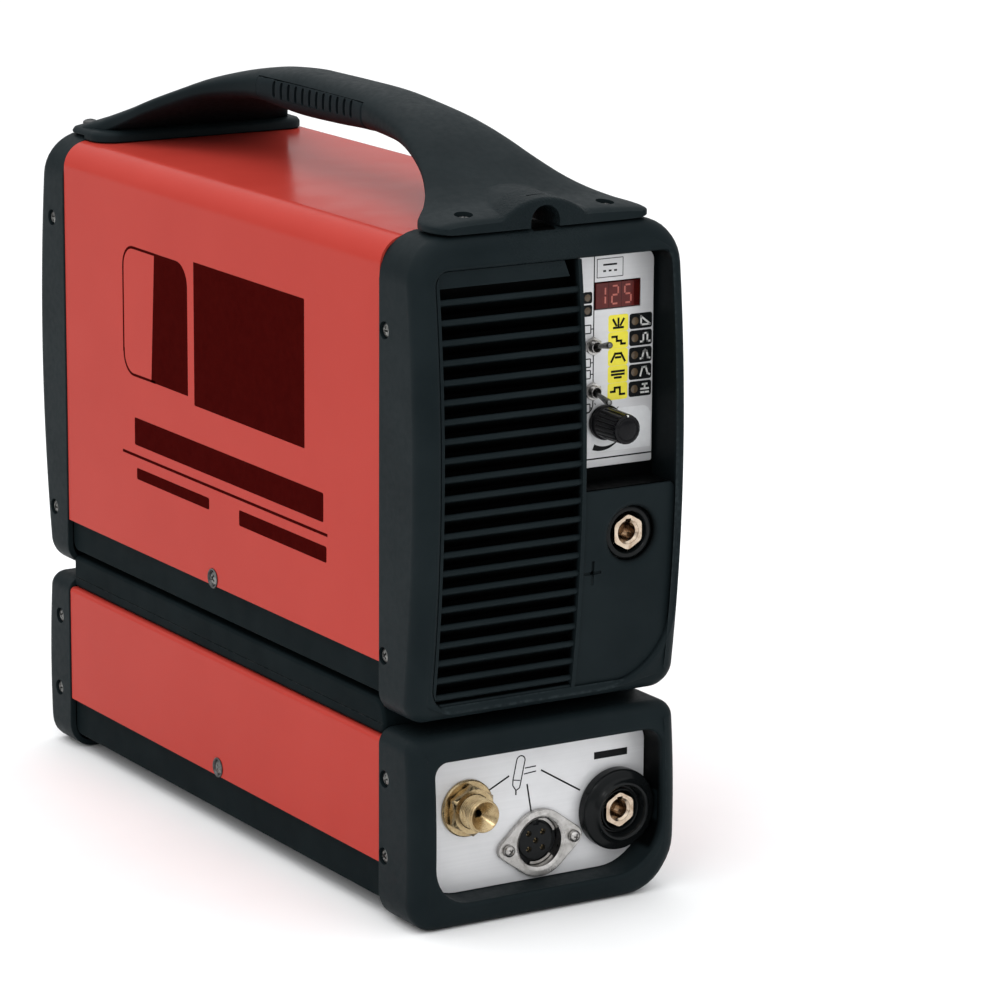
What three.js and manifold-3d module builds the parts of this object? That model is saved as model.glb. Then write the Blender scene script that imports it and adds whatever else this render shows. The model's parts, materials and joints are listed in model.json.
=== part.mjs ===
// A portable inverter TIG welder: a power source standing on a gas and ignition module,
// with a carrying handle, front controls, output sockets, fan, switch and internal parts.
// Millimetres, +Z up. X is to the right seen from the front, the front faces -Y, the floor is z = 0.
import * as THREE from 'three';
import { mergeVertices } from 'three/addons/utils/BufferGeometryUtils.js';
import Module from 'manifold-3d';

// ---------- driving dimensions ----------
const GAP = 0.3; // clearance left between pieces that touch
const HALF_WIDTH = 75; // over the moulded end bezels
const HALF_LENGTH = 203.5; // from the middle to the foremost point of a bezel
const WALL = 3; // moulded plastic wall
const SHEET = 1.2; // painted steel sheet
const FRAME_HALF = HALF_WIDTH - WALL - GAP; // outer half width of the chassis inside bezels and covers
const EDGE_RADIUS = 8; // vertical front edges of the bezels

const COVER_FRONT = -164.5; // where the front bezels end and the covers start
const COVER_REAR = 169.5; // where the covers end and the rear bezels start
const COVER_HALF = 74.2; // outer half width of the sheet covers

const UPPER_BOTTOM = 102; // underside of the upper bezels
const UPPER_TOP = 334.5; // top of the upper bezels
const UPPER_COVER_BOTTOM = 128;
const UPPER_COVER_TOP = 332;
const TRAY_BOTTOM = 111.5;
const FACE_CENTRE = 222; // height at which the upper faces bulge most
const FACE_RADIUS = 740;

const LOWER_TOP = 95.5; // top of the lower bezels
const LOWER_COVER_BOTTOM = 28.5;
const LOWER_COVER_TOP = 90.5;
const DECK_TOP = 108;
const BASE_BOTTOM = 9;
const LOWER_CENTRE = 42;
const LOWER_LENGTH = 199; // from the middle to the foremost point of a lower bezel
const LOWER_FACE_RADIUS = 400;

const BULKHEAD = 177; // |y| of the inner side of the wall that the front and rear fittings sit in
const FLOOR = 179.6; // |y| of the outer side of that wall, the floor of the recess
const PLATE = 181; // |y| of the outer side of a label plate lying on it

const POSITIVE = { x: 45, z: 183.5 };
const NEGATIVE = { x: 48.2, z: 41.7 };
const GAS_OUTLET = { x: -35.6, z: 54 };
const TORCH_SOCKET = { x: 5, z: 30.5 };
const KNOB = { x: 39.5, z: 235.5 };
const TOGGLES = [{ name: 'mode_toggle', x: 33, z: 273 }, { name: 'process_toggle', x: 33, z: 251 }];
const TOGGLE_TILT = 13; // degrees either side of straight out
const TOGGLE_PIVOT = -183.5; // y of the pins that the levers rock on
const DISPLAY = { x0: 33.8, x1: 60, z0: 290, z1: 303.6 };
const FAN = { z: 245, half: 59.5, front: 138, rear: 176, bore: 57 };
const SWITCH = { x: -32, z: 146, halfX: 14, halfZ: 10.5 };
const GLAND = { x: 32, z: 146, bore: 5 };
const GAS_INLET = { x: -36, z: 54 };
const UPPER_MOUTH = { x0: -63, x1: 69, z0: 108, z1: 319, radii: [12, 28, 10, 7] };
const LOWER_MOUTH = { x0: -62, x1: 66, z0: 12, z1: 83, radii: [20, 26, 9, 7] };
const UPPER_REAR_MOUTH = { x0: -64, x1: 64, z0: 114, z1: 319, radii: [18, 18, 10, 10] };
const LOWER_REAR_MOUTH = { x0: -64, x1: 64, z0: 11, z1: 83, radii: [22, 22, 8, 8] };
const LOUVRE = { left: -62.7, right: 17, bottom: 108.3, top: 318.7, blades: 22 };
const SOCKET_FIELD = { left: 17.3, right: 68.7, bottom: 108, top: 207, depth: 2.5 };

const M3_HOLE = 1.8; // radii of plain holes
const M4_HOLE = 2.3;
const SHAFT_HOLE = 4.1;
const TOGGLE_HOLE = 3.3;
const SOCKET_HOLE = 13.4;
const GAS_HOLE = 8.6;
const GLAND_HOLE = 10.4;
const HOSE_RADIUS = 5;

// ---------- materials ----------
function material(color, roughness, metalness) {
  return () => new THREE.MeshStandardMaterial({ color, roughness, metalness });
}

const blackPlastic = material(0x23292c, 0.62, 0);
const redPaint = material(0xb3261e, 0.3, 0);
const blackSteel = material(0x1d2122, 0.5, 0.1);
const silverPlate = material(0xc9cace, 0.45, 0.2);
const rubber = material(0x1b1e20, 0.85, 0);
const brass = material(0xb08a4a, 0.3, 1);
const steel = material(0xb9bcc0, 0.35, 1);
const aluminium = material(0xb5b8bb, 0.4, 1);
const copper = material(0xa85c32, 0.35, 1);
const boardGreen = material(0x1f5a34, 0.6, 0);
const redWindow = material(0x7a1512, 0.1, 0);
const ferrite = material(0x303236, 0.7, 0);
const blueSleeve = material(0x1d2f57, 0.4, 0);
const hoseBlack = material(0x101214, 0.6, 0);

// ---------- joining and cutting ----------
const wasm = await Module();
wasm.setup();

function outward(geometry) {
  const position = geometry.attributes.position;
  const index = geometry.index.array;
  const [a, b, c] = [new THREE.Vector3(), new THREE.Vector3(), new THREE.Vector3()];
  let volume = 0;
  for (let i = 0; i < index.length; i += 3) {
    a.fromBufferAttribute(position, index[i]);
    b.fromBufferAttribute(position, index[i + 1]);
    c.fromBufferAttribute(position, index[i + 2]);
    volume += a.dot(b.cross(c));
  }
  if (volume < 0) {
    for (let i = 0; i < index.length; i += 3) {
      [index[i], index[i + 1]] = [index[i + 1], index[i]];
    }
  }
  return geometry;
}

function solid(geometry) {
  const bare = geometry.clone();
  bare.deleteAttribute('normal');
  bare.deleteAttribute('uv');
  const merged = outward(mergeVertices(bare, 1e-4));
  return new wasm.Manifold(new wasm.Mesh({
    numProp: 3,
    vertProperties: new Float32Array(merged.attributes.position.array),
    triVerts: new Uint32Array(merged.index.array),
  }));
}

function join(...solids) {
  return solids.reduce((whole, next) => whole.add(next));
}

function cut(body, ...tools) {
  return tools.reduce((rest, tool) => rest.subtract(tool), body);
}

function geometryOf(body) {
  const mesh = body.getMesh();
  const geometry = new THREE.BufferGeometry();
  geometry.setAttribute('position', new THREE.BufferAttribute(new Float32Array(mesh.vertProperties), 3));
  geometry.setIndex(new THREE.BufferAttribute(new Uint32Array(mesh.triVerts), 1));
  geometry.computeVertexNormals();
  return geometry;
}

const group = new THREE.Group();

function add(name, body, makeMaterial) {
  const mesh = new THREE.Mesh(geometryOf(body), makeMaterial());
  mesh.name = name;
  group.add(mesh);
  return mesh;
}

// ---------- plain solids ----------
function box(x0, x1, y0, y1, z0, z1) {
  const geometry = new THREE.BoxGeometry(x1 - x0, y1 - y0, z1 - z0);
  return solid(geometry.translate((x0 + x1) / 2, (y0 + y1) / 2, (z0 + z1) / 2));
}

function cylinderY(radius, y0, y1, x, z, sides = 24, farRadius = radius) {
  const geometry = new THREE.CylinderGeometry(farRadius, radius, y1 - y0, sides);
  return solid(geometry.translate(x, (y0 + y1) / 2, z));
}

function cylinderZ(radius, z0, z1, x, y, sides = 24) {
  const geometry = new THREE.CylinderGeometry(radius, radius, z1 - z0, sides);
  return solid(geometry.rotateX(Math.PI / 2).translate(x, y, (z0 + z1) / 2));
}

function cylinderX(radius, x0, x1, y, z, sides = 16) {
  const geometry = new THREE.CylinderGeometry(radius, radius, x1 - x0, sides);
  return solid(geometry.rotateZ(Math.PI / 2).translate((x0 + x1) / 2, y, z));
}

// A hexagonal bar along Y, measured across its flats.
function hexY(flats, y0, y1, x, z) {
  return cylinderY(flats / 2 / Math.cos(Math.PI / 6), y0, y1, x, z, 6);
}

// A turned piece along Y: profile points are [radius, y], first and last on the axis.
function turned(profile, x, z, sides = 28) {
  const points = profile.map(([radius, y]) => new THREE.Vector2(radius, y));
  return solid(new THREE.LatheGeometry(points, sides).translate(x, 0, z));
}

function evenly(first, last, steps) {
  return Array.from({ length: steps + 1 }, (_, i) => first + ((last - first) * i) / steps);
}

function shapeOf(points) {
  return new THREE.Shape(points.map(([u, v]) => new THREE.Vector2(u, v)));
}

// A rectangle whose corner radii are given as [bottom left, bottom right, top right, top left].
function roundedRect(u0, u1, v0, v1, [bl, br, tr, tl]) {
  const shape = new THREE.Shape();
  shape.moveTo(u0 + bl, v0).lineTo(u1 - br, v0);
  shape.absarc(u1 - br, v0 + br, br, -Math.PI / 2, 0);
  shape.lineTo(u1, v1 - tr);
  shape.absarc(u1 - tr, v1 - tr, tr, 0, Math.PI / 2);
  shape.lineTo(u0 + tl, v1);
  shape.absarc(u0 + tl, v1 - tl, tl, Math.PI / 2, Math.PI);
  shape.lineTo(u0, v0 + bl);
  shape.absarc(u0 + bl, v0 + bl, bl, Math.PI, 1.5 * Math.PI);
  return shape;
}

function extruded(shape, depth, curveSegments) {
  return new THREE.ExtrudeGeometry(shape, { depth, bevelEnabled: false, curveSegments });
}

// Prisms: an outline in XZ pushed along Y, one in YZ pushed along X, and one in XY pushed along Z.
function prismY(shape, y0, y1, curveSegments = 3) {
  return solid(extruded(shape, y1 - y0, curveSegments).rotateX(Math.PI / 2).translate(0, y1, 0));
}

function prismX(shape, x0, x1, curveSegments = 3) {
  const turn = new THREE.Matrix4();
  turn.makeBasis(new THREE.Vector3(0, 1, 0), new THREE.Vector3(0, 0, 1), new THREE.Vector3(1, 0, 0));
  return solid(extruded(shape, x1 - x0, curveSegments).applyMatrix4(turn).translate(x0, 0, 0));
}

function prismZ(shape, z0, z1, curveSegments = 3) {
  return solid(extruded(shape, z1 - z0, curveSegments).translate(0, 0, z0));
}

// A closed skin over level rings, each a convex list of [x, y] at its own height.
function loft(rings) {
  const count = rings[0].points.length;
  const positions = rings.flatMap(({ z, points }) => points.flatMap(([x, y]) => [x, y, z]));
  const index = [];
  for (let level = 0; level < rings.length - 1; level += 1) {
    for (let i = 0; i < count; i += 1) {
      const [a, b] = [level * count + i, level * count + ((i + 1) % count)];
      index.push(a, b, b + count, a, b + count, a + count);
    }
  }
  const last = (rings.length - 1) * count;
  for (let i = 1; i < count - 1; i += 1) {
    index.push(0, i + 1, i, last, last + i, last + i + 1);
  }
  const geometry = new THREE.BufferGeometry();
  geometry.setAttribute('position', new THREE.Float32BufferAttribute(positions, 3));
  geometry.setIndex(index);
  return solid(geometry);
}

function mirrorFrontToRear(body) {
  return body.mirror([0, 1, 0]);
}

// ---------- end bezels ----------
// Distance of the bulging face from the middle plane at a height, for either module.
function upperFace(z) {
  const rise = FACE_RADIUS - Math.sqrt(FACE_RADIUS ** 2 - (z - FACE_CENTRE) ** 2);
  return HALF_LENGTH - rise;
}

function lowerFace(z) {
  const rise = LOWER_FACE_RADIUS - Math.sqrt(LOWER_FACE_RADIUS ** 2 - (z - LOWER_CENTRE) ** 2);
  const toe = 8; // the face rolls under towards the foot over this height
  const roll = z < toe ? 5 * (1 - Math.sqrt(1 - ((toe - z) / toe) ** 2)) : 0;
  return LOWER_LENGTH - rise - roll;
}

// Half width of an outline with rounded bottom and top corners, at a height.
function outlineHalf(z, bottom, top, bottomRadius, topRadius) {
  const depth = Math.max(bottom + bottomRadius - z, 0) / bottomRadius;
  const height = Math.max(z - (top - topRadius), 0) / topRadius;
  const lost = bottomRadius * (1 - Math.sqrt(1 - depth ** 2)) + topRadius * (1 - Math.sqrt(1 - height ** 2));
  return HALF_WIDTH - lost;
}

// Heights that follow the two corner arcs closely and the straight stretch between them coarsely.
function levels(bottom, top, bottomRadius, topRadius, arcSteps = 4, straightSteps = 4) {
  const list = [];
  for (let i = 0; i < arcSteps; i += 1) {
    list.push(bottom + bottomRadius * (1 - Math.cos((i / arcSteps) * (Math.PI / 2))));
  }
  for (let i = 0; i <= straightSteps; i += 1) {
    list.push(bottom + bottomRadius + ((top - topRadius - bottom - bottomRadius) * i) / straightSteps);
  }
  for (let i = 1; i <= arcSteps; i += 1) {
    list.push(top - topRadius + topRadius * Math.sin((i / arcSteps) * (Math.PI / 2)));
  }
  return list;
}

// One level ring of a front bezel: straight back edge, rounded front corners.
function bezelRing(half, back, face) {
  const steps = 2;
  const radius = Math.min(EDGE_RADIUS, (face - back) / 2);
  const corner = Array.from({ length: steps + 1 }, (_, i) => {
    const turn = (i / steps) * (Math.PI / 2);
    return [half - radius * (1 - Math.cos(turn)), -face + radius * (1 - Math.sin(turn))];
  });
  const mirrored = corner.map(([x, y]) => [-x, y]);
  return [[half, -back], [-half, -back], ...mirrored, ...corner.reverse()];
}

function bezelBody(back, face, bottom, top, bottomRadius, topRadius) {
  return loft(levels(bottom, top, bottomRadius, topRadius).map((z) => ({
    z,
    points: bezelRing(outlineHalf(z, bottom, top, bottomRadius, topRadius), back, face(z)),
  })));
}

const UPPER_CORNERS = { bottom: 12, top: 22 };
const LOWER_CORNERS = { bottom: 20, top: 8 };

function insideOutline(bottom, top, corners) {
  const [bottomRadius, topRadius] = [corners.bottom - WALL, corners.top - WALL];
  const half = HALF_WIDTH - WALL;
  const radii = [bottomRadius, bottomRadius, topRadius, topRadius];
  return roundedRect(-half, half, bottom + WALL, top - WALL, radii);
}

// The outline of a mouth, shrunk by an inset for what fits inside it.
function mouthOutline({ x0, x1, z0, z1, radii }, inset = 0) {
  return roundedRect(x0 + inset, x1 - inset, z0 + inset, z1 - inset, radii.map((r) => r - inset));
}

const SIDE_SCREW = { radius: 2.4, heights: [289, 132], front: -169.8, rear: 183.2 };

function sideScrewHoles(y) {
  const reach = HALF_WIDTH + 1;
  return join(...SIDE_SCREW.heights.map((z) => cylinderX(SIDE_SCREW.radius, -reach, reach, y, z, 10)));
}

// The solid block of one module's front bezel, and the room behind its bulkhead.
function bezelBlank(back, face, bottom, top, corners) {
  const body = bezelBody(back, face, bottom, top, corners.bottom, corners.top);
  return body.subtract(prismY(insideOutline(bottom, top, corners), -BULKHEAD, 1 - back));
}

// Openings through the bulkhead, on the front or, with side 1, on the rear.
function bulkheadHole(radius, { x, z }, side = -1, sides = 24) {
  const [y0, y1] = [side * (FLOOR + 1), side * (BULKHEAD - 1)].sort((a, b) => a - b);
  return cylinderY(radius, y0, y1, x, z, sides);
}

function bulkheadWindow(x0, x1, z0, z1, side = -1) {
  const [y0, y1] = [side * (FLOOR + 1), side * (BULKHEAD - 1)].sort((a, b) => a - b);
  return box(x0, x1, y0, y1, z0, z1);
}

function makeUpperFrontBezel() {
  return cut(
    bezelBlank(-COVER_FRONT, upperFace, UPPER_BOTTOM, UPPER_TOP, UPPER_CORNERS),
    prismY(mouthOutline(UPPER_MOUTH), -HALF_LENGTH - 10, -FLOOR),
    bulkheadWindow(LOUVRE.left + 2.7, LOUVRE.right - 3, LOUVRE.bottom + 4.7, LOUVRE.top - 2.7),
    bulkheadWindow(SOCKET_FIELD.left + 2.7, SOCKET_FIELD.right - 2.7, 130, 203),
    bulkheadWindow(DISPLAY.x0, DISPLAY.x1, DISPLAY.z0, DISPLAY.z1),
    ...TOGGLES.map((place) => bulkheadHole(TOGGLE_HOLE, place, -1, 12)),
    bulkheadHole(SHAFT_HOLE, KNOB, -1, 16),
    sideScrewHoles(SIDE_SCREW.front),
    ...handleScrewHoles(),
  );
}

function makeUpperRearBezel() {
  const { x, z, halfX, halfZ } = SWITCH;
  const switchX = halfX + GAP + 0.1;
  const switchZ = halfZ + GAP + 0.1;
  return cut(
    mirrorFrontToRear(bezelBlank(COVER_REAR, upperFace, UPPER_BOTTOM, UPPER_TOP, UPPER_CORNERS)),
    prismY(mouthOutline(UPPER_REAR_MOUTH), FLOOR, HALF_LENGTH + 10),
    bulkheadHole(FAN.bore, { x: 0, z: FAN.z }, 1, 32),
    bulkheadWindow(x - switchX, x + switchX, z - switchZ, z + switchZ, 1),
    bulkheadHole(GLAND_HOLE, GLAND, 1),
    sideScrewHoles(SIDE_SCREW.rear),
    ...handleScrewHoles(),
  );
}

function makeLowerFrontBezel() {
  const collarRoom = cylinderY(21, -193, -FLOOR, NEGATIVE.x, NEGATIVE.z, 32);
  return cut(
    bezelBlank(-COVER_FRONT, lowerFace, 0, LOWER_TOP, LOWER_CORNERS),
    prismY(mouthOutline(LOWER_MOUTH), -HALF_LENGTH - 10, -FLOOR),
    bulkheadHole(GAS_HOLE, GAS_OUTLET, -1, 18),
    bulkheadHole(SOCKET_HOLE, TORCH_SOCKET),
    bulkheadHole(SOCKET_HOLE, NEGATIVE),
    collarRoom,
    ...torchScrewPlaces().map((place) => bulkheadHole(M3_HOLE, place, -1, 10)),
  );
}

function makeLowerRearBezel() {
  const slotHeights = [28, 36, 44, 52, 60, 68];
  return cut(
    mirrorFrontToRear(bezelBlank(COVER_REAR, lowerFace, 0, LOWER_TOP, LOWER_CORNERS)),
    prismY(mouthOutline(LOWER_REAR_MOUTH), FLOOR, HALF_LENGTH + 10),
    bulkheadHole(6.9, GAS_INLET, 1),
    ...slotHeights.map((z) => bulkheadWindow(-4, 48, z, z + 4, 1)),
  );
}

// ---------- sheet metal ----------
const SHOULDER = 14; // radius of the fold between the cover's top and its sides

function makeUpperCover() {
  const half = COVER_HALF - SHEET;
  const fold = SHOULDER - SHEET;
  const outer = roundedRect(-COVER_HALF, COVER_HALF, 0, UPPER_COVER_TOP, [1, 1, SHOULDER, SHOULDER]);
  const inner = roundedRect(-half, half, -5, UPPER_COVER_TOP - SHEET, [1, 1, fold, fold]);
  const below = box(-90, 90, COVER_FRONT - 5, COVER_REAR + 5, -10, UPPER_COVER_BOTTOM);
  return cut(prismY(outer, ...coverLength()), prismY(inner, COVER_FRONT - 5, COVER_REAR + 5), below);
}

function coverLength() {
  return [COVER_FRONT + GAP, COVER_REAR - GAP];
}

// Two red side panels joined by the folded top that lies under the deck.
function makeLowerCover() {
  const half = COVER_HALF - SHEET;
  const outer = box(-COVER_HALF, COVER_HALF, ...coverLength(), LOWER_COVER_BOTTOM, LOWER_COVER_TOP);
  return outer.subtract(box(-half, half, COVER_FRONT - 5, COVER_REAR + 5, 0, LOWER_COVER_TOP - SHEET));
}

// The open pan that the power source stands in, with a frame at each end that the bezels screw to.
function makeUpperChassis() {
  const side = new THREE.Shape();
  side.moveTo(COVER_FRONT + GAP, TRAY_BOTTOM).lineTo(130, TRAY_BOTTOM);
  side.absarc(130, TRAY_BOTTOM + 25, 25, -Math.PI / 2, 0);
  side.lineTo(155, 145).lineTo(COVER_FRONT + GAP, 145);
  const inside = FRAME_HALF - 1;
  const floor = box(-inside, inside, COVER_FRONT, 129, TRAY_BOTTOM + 0.2, TRAY_BOTTOM + 1.7);
  const frontFrame = chassisFrame(COVER_FRONT - 0.7, { x0: -62, x1: 66, z0: 116, z1: 318 });
  const rearFrame = chassisFrame(153.5, { x0: -60.5, x1: 60.5, z0: 125, z1: 306 });
  const flanges = box(-FRAME_HALF, FRAME_HALF, -176, COVER_FRONT, 120, 306);
  const between = box(-FRAME_HALF + 1.5, FRAME_HALF - 1.5, -180, COVER_FRONT + 1, 110, 310);
  const pan = join(...sideWalls(side), floor, frontFrame, rearFrame, flanges.subtract(between));
  return pan.subtract(sideScrewHoles(SIDE_SCREW.front));
}

// The same upright outline as a sheet wall on the left and on the right.
function sideWalls(outline) {
  return [prismX(outline, -FRAME_HALF, -FRAME_HALF + 1.4), prismX(outline, FRAME_HALF - 1.4, FRAME_HALF)];
}

function chassisFrame(front, hole) {
  const sheet = roundedRect(-FRAME_HALF, FRAME_HALF, TRAY_BOTTOM + 0.5, 326, [4, 4, 12, 12]);
  const rear = front + 1.5;
  return prismY(sheet, front, rear).subtract(box(hole.x0, hole.x1, front - 1, rear + 1, hole.z0, hole.z1));
}

function makeLowerTray() {
  const side = roundedRect(COVER_FRONT + GAP, 155, BASE_BOTTOM, 44, [1, 22, 1, 1]);
  const inside = FRAME_HALF - 1;
  const floor = box(-inside, inside, COVER_FRONT + 3, 130, BASE_BOTTOM + 0.2, BASE_BOTTOM + 1.7);
  return join(...sideWalls(side), floor);
}

// The black deck between the two modules: a flat plate with down-turned sides.
function makeLowerDeck() {
  const side = roundedRect(COVER_FRONT + GAP, 155, LOWER_COVER_TOP + GAP, DECK_TOP, [5, 9, 5, 9]);
  const block = prismX(side, -FRAME_HALF, FRAME_HALF);
  return block.subtract(box(-FRAME_HALF + 1.5, FRAME_HALF - 1.5, -200, 200, 60, DECK_TOP - 1.5));
}

// ---------- upper front: grille, plates and controls ----------
function louvreHeight(k) {
  return 304.5 - 9.35 * k + 0.0145 * k * k;
}

// One blade: its outer edge is high and it slopes down inwards, so no light shows through.
function louvreBlade(z, x0, x1) {
  const front = -(upperFace(z) - 2);
  const blade = [[front, z + 1.5], [front, z - 1.5], [front + 12, z - 8.5], [front + 12, z - 5.5]];
  return prismX(shapeOf(blade), x0, x1);
}

function makeLouvreGrille() {
  const { left, right, bottom, top, blades: count } = LOUVRE;
  const [x0, x1, back] = [left + 0.5, right - 0.5, -FLOOR - GAP];
  const blades = Array.from({ length: count }, (_, k) => louvreBlade(louvreHeight(k), x0, x1));
  const cheekShape = shapeOf([
    ...evenly(bottom, top, 8).map((z) => [-(upperFace(z) - 1.2), z]),
    [back, top],
    [back, bottom],
  ]);
  const cheeks = [prismX(cheekShape, left, left + 1.6), prismX(cheekShape, right - 2, right)];
  const header = box(x0, x1, -195, back, 311, top);
  const sill = box(x0, x1, -193, back, bottom, 111);
  const grille = join(...blades, ...cheeks, header, sill);
  return grille.intersect(prismY(mouthOutline(UPPER_MOUTH, GAP), -HALF_LENGTH, -FLOOR));
}

function plateHole(radius, { x, z }, sides = 24) {
  return cylinderY(radius, -PLATE - 1, -FLOOR, x, z, sides);
}

function makeControlPlate() {
  const outline = prismY(roundedRect(17.5, 67.5, 213.5, 317, [1, 1, 9, 1]), -PLATE, -FLOOR - GAP);
  const displayCut = box(DISPLAY.x0, DISPLAY.x1, -PLATE - 1, -FLOOR, DISPLAY.z0, DISPLAY.z1);
  const toggleCuts = TOGGLES.map((place) => plateHole(TOGGLE_HOLE, place, 12));
  return cut(outline, displayCut, ...toggleCuts, plateHole(SHAFT_HOLE, KNOB, 16));
}

// Front skin of the socket field with the ledge that closes the control recess from below.
function makeSocketPanel() {
  const { left, right, bottom, top, depth } = SOCKET_FIELD;
  const heights = evenly(bottom, top, 8);
  const skin = shapeOf([
    ...heights.map((z) => [-(upperFace(z) - depth), z]),
    [-FLOOR - GAP, top],
    [-FLOOR - GAP, top - WALL],
    ...heights.map((z) => [-(upperFace(z) - depth - WALL), Math.min(z, top - WALL)]).reverse(),
  ]);
  const within = prismY(mouthOutline(UPPER_MOUTH, GAP), -HALF_LENGTH, -FLOOR);
  const socketHole = cylinderY(13.5, -HALF_LENGTH, -FLOOR, POSITIVE.x, POSITIVE.z, 24);
  return prismX(skin, left, right).intersect(within).subtract(socketHole);
}

function makeDisplayWindow() {
  const { x0, x1, z0, z1 } = DISPLAY;
  return box(x0 + GAP, x1 - GAP, -PLATE - 0.4, -BULKHEAD, z0 + GAP, z1 - GAP);
}

function makeDisplayModule() {
  const { x0, x1, z0, z1 } = DISPLAY;
  return box(x0 - 2, x1 + 2, -BULKHEAD + GAP, -CONTROL_BOARD.front - GAP, z0 - 3, z1 + 3);
}

const CONTROL_BOARD = { front: 168.6, rear: 167 };

function makeControlBoard() {
  return box(12, 66, -CONTROL_BOARD.front, -CONTROL_BOARD.rear, 212, 314);
}

// A knob with flutes round a straight barrel, on a plain skirt, with a blind bore.
function makeKnob() {
  const outline = shapeOf(Array.from({ length: 24 }, (_, i) => {
    const angle = (i / 24) * 2 * Math.PI;
    const radius = i % 2 ? 6.9 : 7.7;
    return [KNOB.x + radius * Math.cos(angle), KNOB.z + radius * Math.sin(angle)];
  }));
  const barrel = prismY(outline, -203.3, -185);
  const skirt = cylinderY(8.6, -185.5, -PLATE - 0.8, KNOB.x, KNOB.z, 24);
  return barrel.add(skirt).subtract(cylinderY(3.3, -198, -PLATE, KNOB.x, KNOB.z, 16));
}

function makePotShaft() {
  return cylinderY(3, -197.5, -171, KNOB.x, KNOB.z);
}

function makePotBody() {
  const can = cylinderY(8.5, -BULKHEAD + GAP, -CONTROL_BOARD.front - GAP, KNOB.x, KNOB.z, 24);
  const bush = cylinderY(3.8, -PLATE - 0.4, -BULKHEAD + 1, KNOB.x, KNOB.z);
  return can.add(bush).subtract(cylinderY(3.1, -200, -170.7, KNOB.x, KNOB.z));
}

function makeToggleBody({ x, z }) {
  const block = box(x - 4, x + 4, -BULKHEAD + GAP, -CONTROL_BOARD.front - GAP, z - 6.5, z + 6.5);
  const bush = cylinderY(3, -185.5, -BULKHEAD + 1, x, z, 16);
  const nut = hexY(8, -PLATE - 2, -PLATE - GAP, x, z);
  const bore = cylinderY(2.3, -190, -176, x, z, 16);
  return cut(join(block, bush, nut), bore);
}

// The lever is turned about its pivot to the position it is stored in.
function makeToggleLever({ x, z }, tilt) {
  const profile = [[0, 4], [1.1, 4], [1.1, -4], [1.6, -9.5], [1.7, -12.5], [1.2, -14], [0, -14.4]];
  return turned(profile, 0, 0, 10).rotate([tilt, 0, 0]).translate([x, TOGGLE_PIVOT, z]);
}

// ---------- welding sockets ----------
function makeDinseInsert({ x, z }, front) {
  const body = hexY(15.5, front, -160, x, z);
  const stud = cylinderY(5, -161, -142, x, z, 16);
  return body.add(stud).subtract(cylinderY(4.6, front - 1, front + 20, x, z, 20));
}

// Holds a brass insert in the front panel. The collar stands proud of the plate, the sleeve goes through.
function makeDinseHousing({ x, z }, profile) {
  const bore = hexY(15.5 + 2 * GAP, -230, -100, x, z);
  return turned(profile, x, z, 24).subtract(bore);
}

const SLEEVE = { radius: 13.1, back: -166 }; // the part of a socket that goes through the panel

function positiveHousingProfile() {
  const { radius, back } = SLEEVE;
  const [front, shoulder, seat] = [-196.5, -193.8, -183];
  return [
    [0, front], [radius, front], [radius, shoulder], [16.5, shoulder], [16.5, seat], [radius, seat],
    [radius, back], [0, back],
  ];
}

function negativeHousingProfile() {
  const plate = -PLATE - GAP;
  return [
    [0, -187.4], [11, -187.4], [12.5, -189], [14.4, -190.6], [16.4, -190.6], [17.6, -188.6], [20.4, -187.4],
    [20.4, plate], [SLEEVE.radius, plate], [SLEEVE.radius, SLEEVE.back], [0, SLEEVE.back],
  ];
}

// ---------- lower front: plate, gas outlet and torch control socket ----------
const TORCH_EAR = { x: 18.6, z: 0.9 }; // from the middle of the flange to its right screw

function torchScrewPlaces() {
  const { x, z } = TORCH_SOCKET;
  return [-1, 1].map((side) => ({ x: x + side * TORCH_EAR.x, z: z + side * TORCH_EAR.z }));
}

function makeConnectionPlate() {
  return cut(
    prismY(mouthOutline(LOWER_MOUTH, GAP), -PLATE, -FLOOR - GAP),
    plateHole(GAS_HOLE, GAS_OUTLET),
    plateHole(SOCKET_HOLE, TORCH_SOCKET),
    plateHole(SOCKET_HOLE, NEGATIVE),
    ...torchScrewPlaces().map((place) => plateHole(M3_HOLE, place, 12)),
  );
}

function makeGasWasher() {
  const { x, z } = GAS_OUTLET;
  const disc = cylinderY(14.2, -PLATE - 1.8, -PLATE - GAP, x, z, 24);
  return disc.subtract(cylinderY(GAS_HOLE, -190, -170, x, z, 18));
}

function makeGasNut() {
  const { x, z } = GAS_OUTLET;
  return hexY(22, -PLATE - 7.5, -PLATE - 2.1, x, z).subtract(cylinderY(GAS_HOLE, -195, -170, x, z, 18));
}

function makeGasOutlet() {
  const { x, z } = GAS_OUTLET;
  const body = turned([
    [0, -192.2], [1.8, -192.2], [7.1, -198.2], [8.3, -198.2], [8.3, -BULKHEAD + GAP], [11, -BULKHEAD + GAP],
    [11, -171], [5, -171], [5, -152], [0, -152],
  ], x, z, 18);
  return body.subtract(cylinderY(1.8, -200, -150, x, z, 8));
}

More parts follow.
